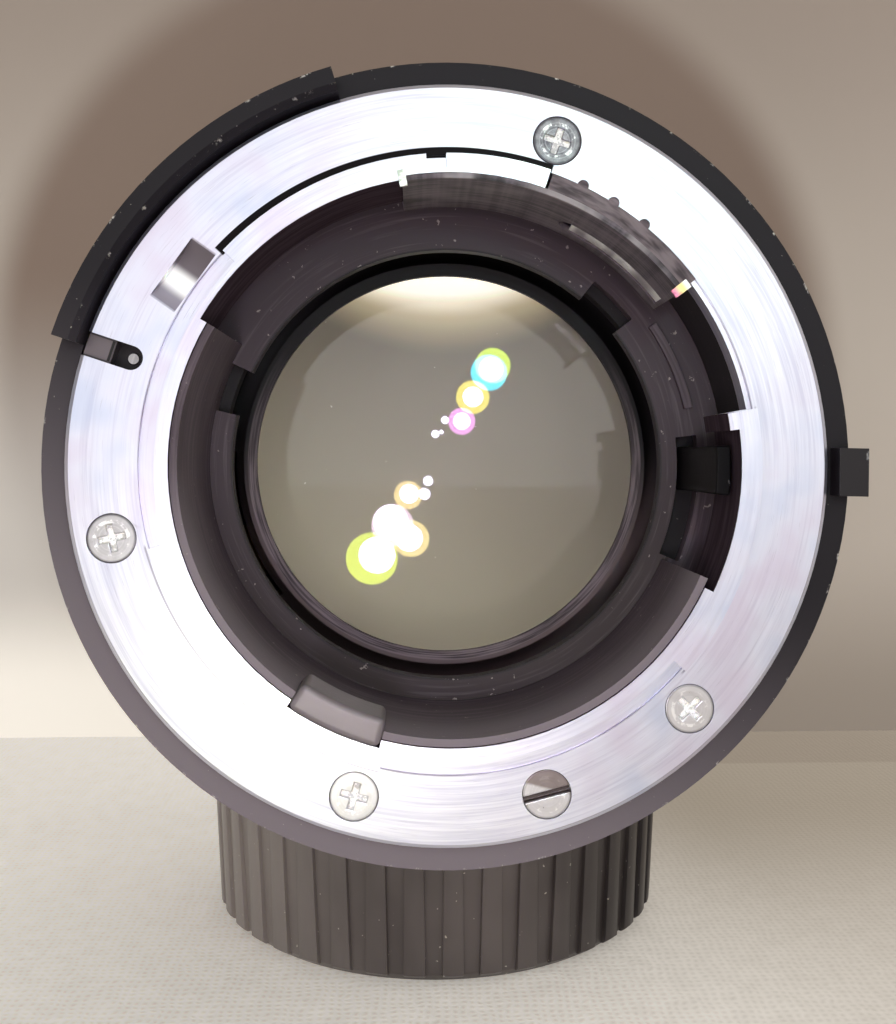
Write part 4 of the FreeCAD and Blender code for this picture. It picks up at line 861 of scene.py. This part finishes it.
ringWords = [(text, indexAngle + apertureScale["step"] * k, apertureScale["at"], apertureScale["size"])
             for k, text in enumerate(apertureScale["numbers"])]
meshFrom(lettering(ringWords, apertureScale["radius"]), "aperture_numbers", "white", "aperture_control")
metreWords = [(f"{v:g}", indexAngle + focusTurn(v), distanceScale["metresAt"], distanceScale["size"])
              for v in distanceScale["metres"]]
feetWords = [(f"{v:g}", indexAngle + focusTurn(v * foot), distanceScale["feetAt"], distanceScale["size"])
             for v in distanceScale["feet"] if focusTurn(v * foot) < distanceScale["turn"] + 2]
far = distanceScale["radius"]
meshFrom(lettering(metreWords, far), "metre_numbers", "white", "focus_control")
meshFrom(lettering(feetWords, far), "feet_numbers", "orange", "focus_control")
endless = lettering([("8", indexAngle, 0.0, distanceScale["endlessSize"])], far, 90.0)  # an 8 on its side
bmesh.ops.translate(endless, vec=(0, distanceScale["endlessAt"], 0), verts=endless.verts)
meshFrom(endless, "infinity_mark", "white", "focus_control")
depthWords = [(text, indexAngle + side * spread, depthScale["at"], depthScale["size"])
              for text, spread in depthScale["numbers"].items() for side in (-1, 1)]
meshFrom(lettering(depthWords, depthScale["radius"]), "depth_numbers", "black", "mount_and_barrel")
ticks = [bars(depthScale["tick"], {"Radius": depthScale["radius"] + 0.01, "Start": indexAngle + side * spread,
                                   "Height": depthScale["ticksAt"]}, "black")
         for spread in (*depthScale["numbers"].values(), depthScale["bare"]) for side in (-1, 1)]
ticks.append(bars(depthScale["index"], {"Radius": depthScale["radius"] + 0.01, "Start": indexAngle,
                                        "Height": depthScale["indexAt"]}, "black"))
meshFrom(joined(ticks), "depth_lines", "black", "mount_and_barrel")
stopTicks = bars(apertureScale["tick"], {
    "Count": len(apertureScale["numbers"]), "Radius": apertureScale["radius"] + 0.01, "Start": indexAngle,
    "Step": apertureScale["step"], "Height": apertureScale["ticksAt"]}, "white")
meshFrom(joined([stopTicks]), "stop_ticks", "white", "aperture_control")
edged("depth_scale_ring", "chrome", "scale_chrome", 0.08)
print("scales made")

# Focus ring and its grip

edged("focus_ring", "barrel", "black_anodised", 0.08)
gripSizes = {"seat": 30.63, "ground": 31.4, "top": 32.25, "back": 31.4, "front": 54.9, "blocks": 96, "rows": 9,
             "width": 1.45, "gap": 0.55, "depth": 1.1, "bevel": 0.16, "taper": 0.9}
ground = lathe(band(gripSizes["seat"], gripSizes["ground"], gripSizes["back"], gripSizes["front"], 0.15))
meshFrom(ground, "grip_ground", "rubber", "focus_control", ("focus_grip",))
pitch = (gripSizes["front"] - gripSizes["back"]) / gripSizes["rows"]
blockRows = []
for row in range(gripSizes["rows"]):
    block = brick(gripSizes["width"], pitch - gripSizes["gap"], gripSizes["depth"], gripSizes["bevel"],
                  gripSizes["taper"])
    blockRows.append(repeated(block, {
        "Count": gripSizes["blocks"], "Radius": gripSizes["top"] - gripSizes["depth"] / 2,
        "Step": fullTurn / gripSizes["blocks"], "Height": gripSizes["back"] + (row + 0.5) * pitch}, "rubber"))
meshFrom(joined(blockRows), "grip_blocks", "rubber", "focus_control")
print("focus ring made")

# Hood, front barrel, retaining ring and filter thread

for name, finish, slot, rounding in (("sliding_hood", "barrel", "black_anodised", 0.12),
                                     ("front_barrel", "barrel", "black_anodised", 0.06),
                                     ("name_ring", "innerBlack", "matt_black", 0.06)):
    edged(name, finish, slot, rounding)
threadSizes = {"root": 25.62, "depth": 0.32, "rootHalf": 0.3, "crestHalf": 0.06, "pitch": 0.75, "count": 5,
               "back": 86.7}
crestRadius = threadSizes["root"] - threadSizes["depth"]
tooth = [(threadSizes["root"], -threadSizes["rootHalf"]), (crestRadius, -threadSizes["crestHalf"]),
         (crestRadius, threadSizes["crestHalf"]), (threadSizes["root"], threadSizes["rootHalf"])]
thread = repeated(lathe(tooth, 180), {
    "Count": threadSizes["count"], "Height": threadSizes["back"], "Rise": threadSizes["pitch"]}, "barrel")
meshFrom(joined([thread]), "filter_thread", "barrel", "optical_unit")
print("front made")

# Glass: each element is one smooth solid

elements = {  # back face and front face from the axis to the rim, and finish
    "front_element": (dome(240.0, 24.1, 78.147, -1), dome(60.0, 24.1, 79.947, 1), "frontGlass"),
    "second_element": (dome(75.0, 22.4, 66.911, 1), dome(44.0, 22.4, 70.205, 1), "midGlass"),
    "third_element": (dome(24.0, 14.5, 52.732, 1) + [(18.5, 52.732)], dome(150.0, 19.0, 59.4, 1), "midGlass"),
    "rear_inner_element": (dome(40.0, 17.5, 15.62, 1), dome(150.0, 17.5, 19.62, 1), "rearGlass"),
    "rear_outer_element": (dome(150.0, 17.5, 14.0, -1), dome(40.0, 17.5, 15.6, 1), "rearGlass"),
}
for name, (back, front, finish) in elements.items():
    meshFrom(lathe(back + front[::-1], 160), name + "_glass", finish, "optical_unit", (name,), 60.0)
print("glass made")

# Rear cap that the lens stands on

capSizes = {"skirt": 26.85, "flare": 1.3, "bore": 25.2, "floor": 1.6, "bevel": 1.2, "band": 1.6, "ribs": 42,
            "ribStart": 1.6, "ribTop": 1.82, "ribFoot": 2.35, "ribDepth": 0.47, "ribBevel": 0.13, "ribLow": 0.9,
            "ribTilt": 0.5, "ribUnevenness": 0.05, "ribSeed": 11,
            "tabs": ((10.0, 60.0), (130.0, 180.0), (250.0, 300.0)), "tabDepth": 2.2, "tabHeight": 1.6,
            "tabReach": 2.9}
capLow, capHigh = (Vector(corner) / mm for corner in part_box("rear_cap"))
capRise = capHigh.z - capLow.z
capRim = (capHigh.x - capLow.x) / 2


def skirtRadius(level):
    return capSizes["skirt"] + capSizes["flare"] * level / capRise


def addCapBody(shape):
    # turned about the Y axis with its base at 0, as the other rings are
    c = capSizes
    bandFoot = capRise - c["band"]
    outside = [(0.0, 0.0), (skirtRadius(0) - c["bevel"], 0.0), (skirtRadius(0) - 0.1, c["bevel"] - 0.1),
               (skirtRadius(bandFoot), bandFoot), (capRim, bandFoot + 0.1), (capRim, capRise)]
    inside = [(c["bore"], capRise), (c["bore"], c["floor"]), (0.0, c["floor"])]
    lathe(softened(outside + inside, 0.25), 252, into=shape)
    top = capRise - c["tabDepth"]
    for start, end in c["tabs"]:
        tab = band(c["bore"] - c["tabReach"], c["bore"] + 0.2, top - c["tabHeight"], top, 0.2)
        lathe(tab, 252, start, end, into=shape)


def capRib():
    # one rib with draft, narrow at the rim, standing on the X axis with its foot at 0
    c = capSizes
    soft = c["ribBevel"]
    shape = bmesh.new()
    rows = []
    low, high = c["ribLow"], capRise - c["band"] + 0.05
    for level in (low, low + 0.35, high):
        share = (level - low) / (high - low)
        half = (c["ribFoot"] + (c["ribTop"] - c["ribFoot"]) * share) / 2
        outer = skirtRadius(level) + (c["ribDepth"] if level > low else 0.05)
        inner = skirtRadius(level) - 0.4
        rows.append([shape.verts.new(p) for p in (
            (inner, level, -half - 0.02), (outer - soft, level, -half), (outer - 0.02, level, -half + soft),
            (outer + 0.03, level, 0.0), (outer - 0.02, level, half - soft), (outer - soft, level, half),
            (inner, level, half + 0.02))])
    for below, above in zip(rows, rows[1:]):
        for k in range(len(below)):
            j = (k + 1) % len(below)
            shape.faces.new((below[k], above[k], above[j], below[j]))
    shape.faces.new(rows[0])
    shape.faces.new(list(reversed(rows[-1])))
    bmesh.ops.recalc_face_normals(shape, faces=shape.faces)
    return shape


ribs = repeated(capRib(), {
    "Count": capSizes["ribs"], "Step": fullTurn / capSizes["ribs"], "Start": capSizes["ribStart"],
    "Tilt": capSizes["ribTilt"], "Unevenness": capSizes["ribUnevenness"], "Seed": capSizes["ribSeed"]}, "cap")
capShape = joined([ribs])
addCapBody(capShape)
upright = Matrix.Rotation(math.radians(90.0), 3, "X")
bmesh.ops.rotate(capShape, cent=(0, 0, 0), matrix=upright, verts=capShape.verts)
bmesh.ops.translate(capShape, vec=(0, (capLow.y + capHigh.y) / 2, capLow.z), verts=capShape.verts)
meshFrom(capShape, "rear_cap_ribbed", "cap", "cap", ("rear_cap",), 40.0)
print("cap made")

# Materials of the CAD nodes that keep their shape

kept = {
    "innerBlack": ("mount_carrier", "fixed_barrel"),
    "matt": ("stop_down_ring", "lever_ring_retainer", "front_cell", "element_spacer", "middle_cell",
             "middle_retaining_ring", "rear_retaining_ring", "iris_housing"),
    "steel": ("click_ball", "click_spring", "iris_retaining_ring"),
    "brass": ("guide_keys", "focus_lock_ring", "inner_barrel", "helicoid_sleeve", "iris_cam_ring"),
    "screw": ("guide_key_screws", "focus_grub_screws"),
    "felt": ("hood_felt",),
    "cell": ("rear_cell",),
    "blade": [f"iris_blade_{k}" for k in range(1, 8)],
}
for finish, names in kept.items():
    for name in names:
        node = nodes[name]
        if not node.material_slots:
            node.data.materials.append(finishes[finish])
        for slot in node.material_slots:
            slot.material = finishes[finish]
print("kept nodes dressed:", sum(len(names) for names in kept.values()))

# Room: a pale table, a backdrop that shows from the front only, three windows and small lamps by the camera

room = {"floor": -55.1, "clothEnd": 107.2, "wall": 129.0, "wallFoot": -90.0, "reach": 900.0,
        "floorTone": tone(250, 243, 233), "wallTone": tone(222, 210, 197),
        "cornerGlow": (0.36, 0.34, 0.3, 1.0), "shadowMiddle": (-3.0, 20.5)}


def floorFinish(colour):
    f = Finish("floorCloth")
    weave, across = (f.add("ShaderNodeTexWave", {"bands_direction": way}, {
        "Vector": f.place, "Scale": 0.35, "Distortion": 4.5, "Detail": 2.0}) for way in "XY")
    grain = f.grain(f.place, 0.5, 4.0, 0.7)
    rightEnd = f.between(f.x, 260.0, 120.0)
    # painted shade on the strip of table before the wall, on the right only
    edge = (f.between(f.y, room["clothEnd"] - 0.5, room["clothEnd"] + 0.9) * f.between(f.y, 142.0, 129.0)
            * f.between(f.x, -10.0, 40.0) * f.between(f.x, 125.0, 80.0))
    # painted shadow of the lens on the table to its right, and painted shade growing towards the right
    mixed = f.layers(
        colour, (weave * across * 0.22 + f.between(grain, 0.3, 0.7) * 0.14, tone(168, 160, 146)),
        (f.between(f.x, -6.0, 46.0) * f.between(f.y, 12.0, 88.0) * rightEnd, tone(158, 146, 128)),
        (f.between(f.x, 0.0, 60.0) * rightEnd * 0.45, tone(176, 163, 148)), (edge * 0.6, tone(150, 136, 121)))
    # the camera sees it a little brighter than the lamps alone make it
    glow = f.blend(f.shownPaths(), unlit, f.blend(0.76, mixed, unlit))
    return f.done({"Base Color": mixed, "Emission Color": glow, "Emission Strength": 1.0, "Roughness": 0.9,
                   "Specular IOR Level": 0.2, "Normal": f.bump(weave * across, 0.4, 0.09)})


def wallFinish(colour):
    # shows from the front only, with a soft dark round behind the lens that is a painted shadow, painted light
    # to the left and at the bright lower left corner, which also glows, painted shade towards the top and a
    # painted shadow at the lower right
    f = Finish("backdropPaper")
    cloud = f.grain(f.place, 0.012, 2.0)
    aside, above = f.x - room["shadowMiddle"][0], f.z - room["shadowMiddle"][1]
    away = (aside * aside + above * above) ** 0.5
    mixed = f.layers(
        colour, (f.between(cloud, 0.3, 0.7) * 0.25, deeper(colour, 0.82)),
        (f.between(away, 89.5, 78.0) * 0.88, tone(142, 120, 106)),
        (f.between(f.x, -20.0, -84.0) * f.between(f.z, 40.0, -20.0) * 0.8, tone(252, 246, 238)),
        (f.between(f.x, 20.0, -50.0) * f.between(f.z, -25.0, -50.0) * 0.8, tone(250, 243, 233)),
        (f.between(f.z, 10.0, 104.0) * 0.62, tone(150, 132, 120)),
        (f.between(f.x, 0.0, 40.0) * f.between(f.z, -15.0, -50.0) * 0.45, tone(146, 132, 118)))
    corner = f.between(f.x, 10.0, -45.0) * f.between(f.z, -22.0, -46.0)
    front = 1 - f.add("ShaderNodeNewGeometry", output="Backfacing")
    gone = 1 - f.shownPaths() * front
    clear = f.add("ShaderNodeBsdfTransparent")
    return f.done({"Base Color": mixed, "Roughness": 0.95, "Specular IOR Level": 0.1, "Emission Strength": 1.0,
                   "Emission Color": f.blend(corner, unlit, room["cornerGlow"])}, mixWith=clear, factor=gone)


def stageSheet(name, rows, finish):
    # rows of two points, from the near edge to the far one
    points = [tuple(c * mm for c in point) for row in rows for point in row]
    mesh = bpy.data.meshes.new(name)
    mesh.from_pydata(points, [], [(2 * k, 2 * k + 1, 2 * k + 3, 2 * k + 2) for k in range(len(rows) - 1)])
    mesh.materials.append(finish)
    mesh.shade_smooth()
    sheet = bpy.data.objects.new(name, mesh)
    bpy.context.scene.collection.objects.link(sheet)
    return sheet


reach = room["reach"]
table = stageSheet("floor", [((-reach, y, room["floor"]), (reach, y, room["floor"])) for y in (-reach, reach)],
                   floorFinish(room["floorTone"]))
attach(table, "cap")  # the cap stays on the table when the lens is lifted off it
wall = room["wall"]
stageSheet("backdrop", [((-reach, wall, z), (reach, wall, z)) for z in (room["wallFoot"], reach)],
           wallFinish(room["wallTone"]))

windows = {
    "rearWindow": {"at": (60, -900, 330), "size": (2600, 1500), "power": 7.6, "tint": (0.98, 0.985, 1)},
    "frontWindow": {"at": (300, 900, 500), "size": (1200, 900), "power": 4.5, "tint": (1, 0.99, 0.97)},
    "sideWindow": {"at": (900, 0, 500), "size": (900, 900), "power": 2.0, "tint": (1, 0.99, 0.97)},
}
# small round lamps beside the camera, whose images stand in a row on the rear glass. A wider tinted lamp
# stands a little behind the white one that it rings
sparkSizes = {"distance": -84.0, "spread": 85.0, "behind": 0.6, "bright": 4.8}
bright = sparkSizes["bright"]
blueWhite, softWhite = (1, 0.95, 1.5), (1, 0.95, 1.3)
sparks = (  # place across and up, radius, strength and tint
    (16.9, 28.1, 3.7, bright, blueWhite),
    (16.3, 27.1, 5.6, 2.9, (0.0, 1, 1.3)),
    (17.5, 29.3, 5.5, 2.9, (0.7, 1, 0.05)),
    (11.2, 19.4, 3.1, bright, blueWhite),
    (11.2, 19.4, 5.1, 2.9, (1, 0.85, 0.1)),
    (7.8, 12.0, 2.6, bright, blueWhite),
    (7.8, 12.0, 4.1, 2.7, (1, 0.35, 1)),
    (2.7, 12.3, 1.2, bright, softWhite),
    (-0.2, 8.1, 1.2, bright, softWhite),
    (1.6, 8.7, 0.7, bright, softWhite),
    (-2.4, -6.0, 1.5, bright, softWhite),
    (-3.5, -9.9, 1.8, bright, softWhite),
    (-8.1, -9.9, 2.9, bright, softWhite),
    (-8.4, -10.3, 4.3, 2.7, (1, 0.75, 0.3)),
    (-13.6, -18.5, 5.3, bright, blueWhite),
    (-13.2, -19.4, 6.4, 2.5, (1, 0.75, 1)),
    (-8.1, -23.3, 4.1, bright, blueWhite),
    (-7.6, -23.6, 5.6, 2.7, (1, 0.8, 0.3)),
    (-17.9, -28.7, 5.6, bright, blueWhite),
    (-19.6, -29.9, 8.0, 2.7, (0.8, 1, 0.05)),
)


def lampAt(name, at, size, power, tint, spread=180.0, aim=(0.0, 20.0, 0.0)):
    light = bpy.data.lights.new(name, "AREA")
    light.shape = "ELLIPSE"
    light.size, light.size_y = size[0] * mm, size[1] * mm
    light.energy = power
    light.color = tint
    light.spread = math.radians(spread)
    holder = bpy.data.objects.new(name, light)
    holder.location = Vector(at) * mm
    holder.rotation_euler = (Vector(aim) - Vector(at)).to_track_quat("-Z", "Y").to_euler()
    holder.visible_camera = False
    bpy.context.scene.collection.objects.link(holder)


for name, lamp in windows.items():
    lampAt(name, **lamp)
for k, (across, up, radius, strength, tint) in enumerate(sparks):
    back = sparkSizes["distance"] - (0.0 if strength == bright else sparkSizes["behind"])
    power = strength * math.pi * math.pi * (radius * mm) ** 2
    lampAt(f"spark{k}", (across, back, up), (2 * radius, 2 * radius), power, tint, sparkSizes["spread"])

airSizes = {"light": (0.93, 0.925, 0.92, 1.0), "strength": 0.3, "seen": (0.6, 0.58, 0.54, 1.0)}
world = bpy.data.worlds.new("room")
world.use_nodes = True
world.node_tree.nodes.clear()
air = Bench(world.node_tree)
sight = air.shownPaths()
plain = air.add("ShaderNodeBackground", sockets={"Color": airSizes["light"], "Strength": airSizes["strength"]})
pale = air.add("ShaderNodeBackground", sockets={"Color": airSizes["seen"], "Strength": 1.0})
shown = air.add("ShaderNodeMixShader", sockets={0: sight, 1: plain, 2: pale})
air.add("ShaderNodeOutputWorld", sockets={"Surface": shown})
bpy.context.scene.world = world
bpy.context.scene.view_settings.view_transform = "Standard"

# focal length and shift are in pixels of the 1024 high frame, which is cropped from a taller one
cameraSizes = {"frame": 1024.0, "film": 36.0, "focal": 1050.0, "shift": -72.0, "at": (-2.8, -82.23, 0.65),
               "raised": 0.87, "turned": -1.82}
camera = bpy.data.cameras.new("camera")
camera.lens = cameraSizes["focal"] * cameraSizes["film"] / cameraSizes["frame"]
camera.sensor_width = cameraSizes["film"]
camera.clip_start = 0.004
camera.clip_end = 10.0
camera.shift_y = cameraSizes["shift"] / cameraSizes["frame"]
viewer = bpy.data.objects.new("camera", camera)
viewer.location = Vector(cameraSizes["at"]) * mm
viewer.rotation_euler = (math.radians(90.0 + cameraSizes["raised"]), 0.0, math.radians(cameraSizes["turned"]))
bpy.context.scene.collection.objects.link(viewer)
bpy.context.scene.camera = viewer
print("room, lamps and camera set")
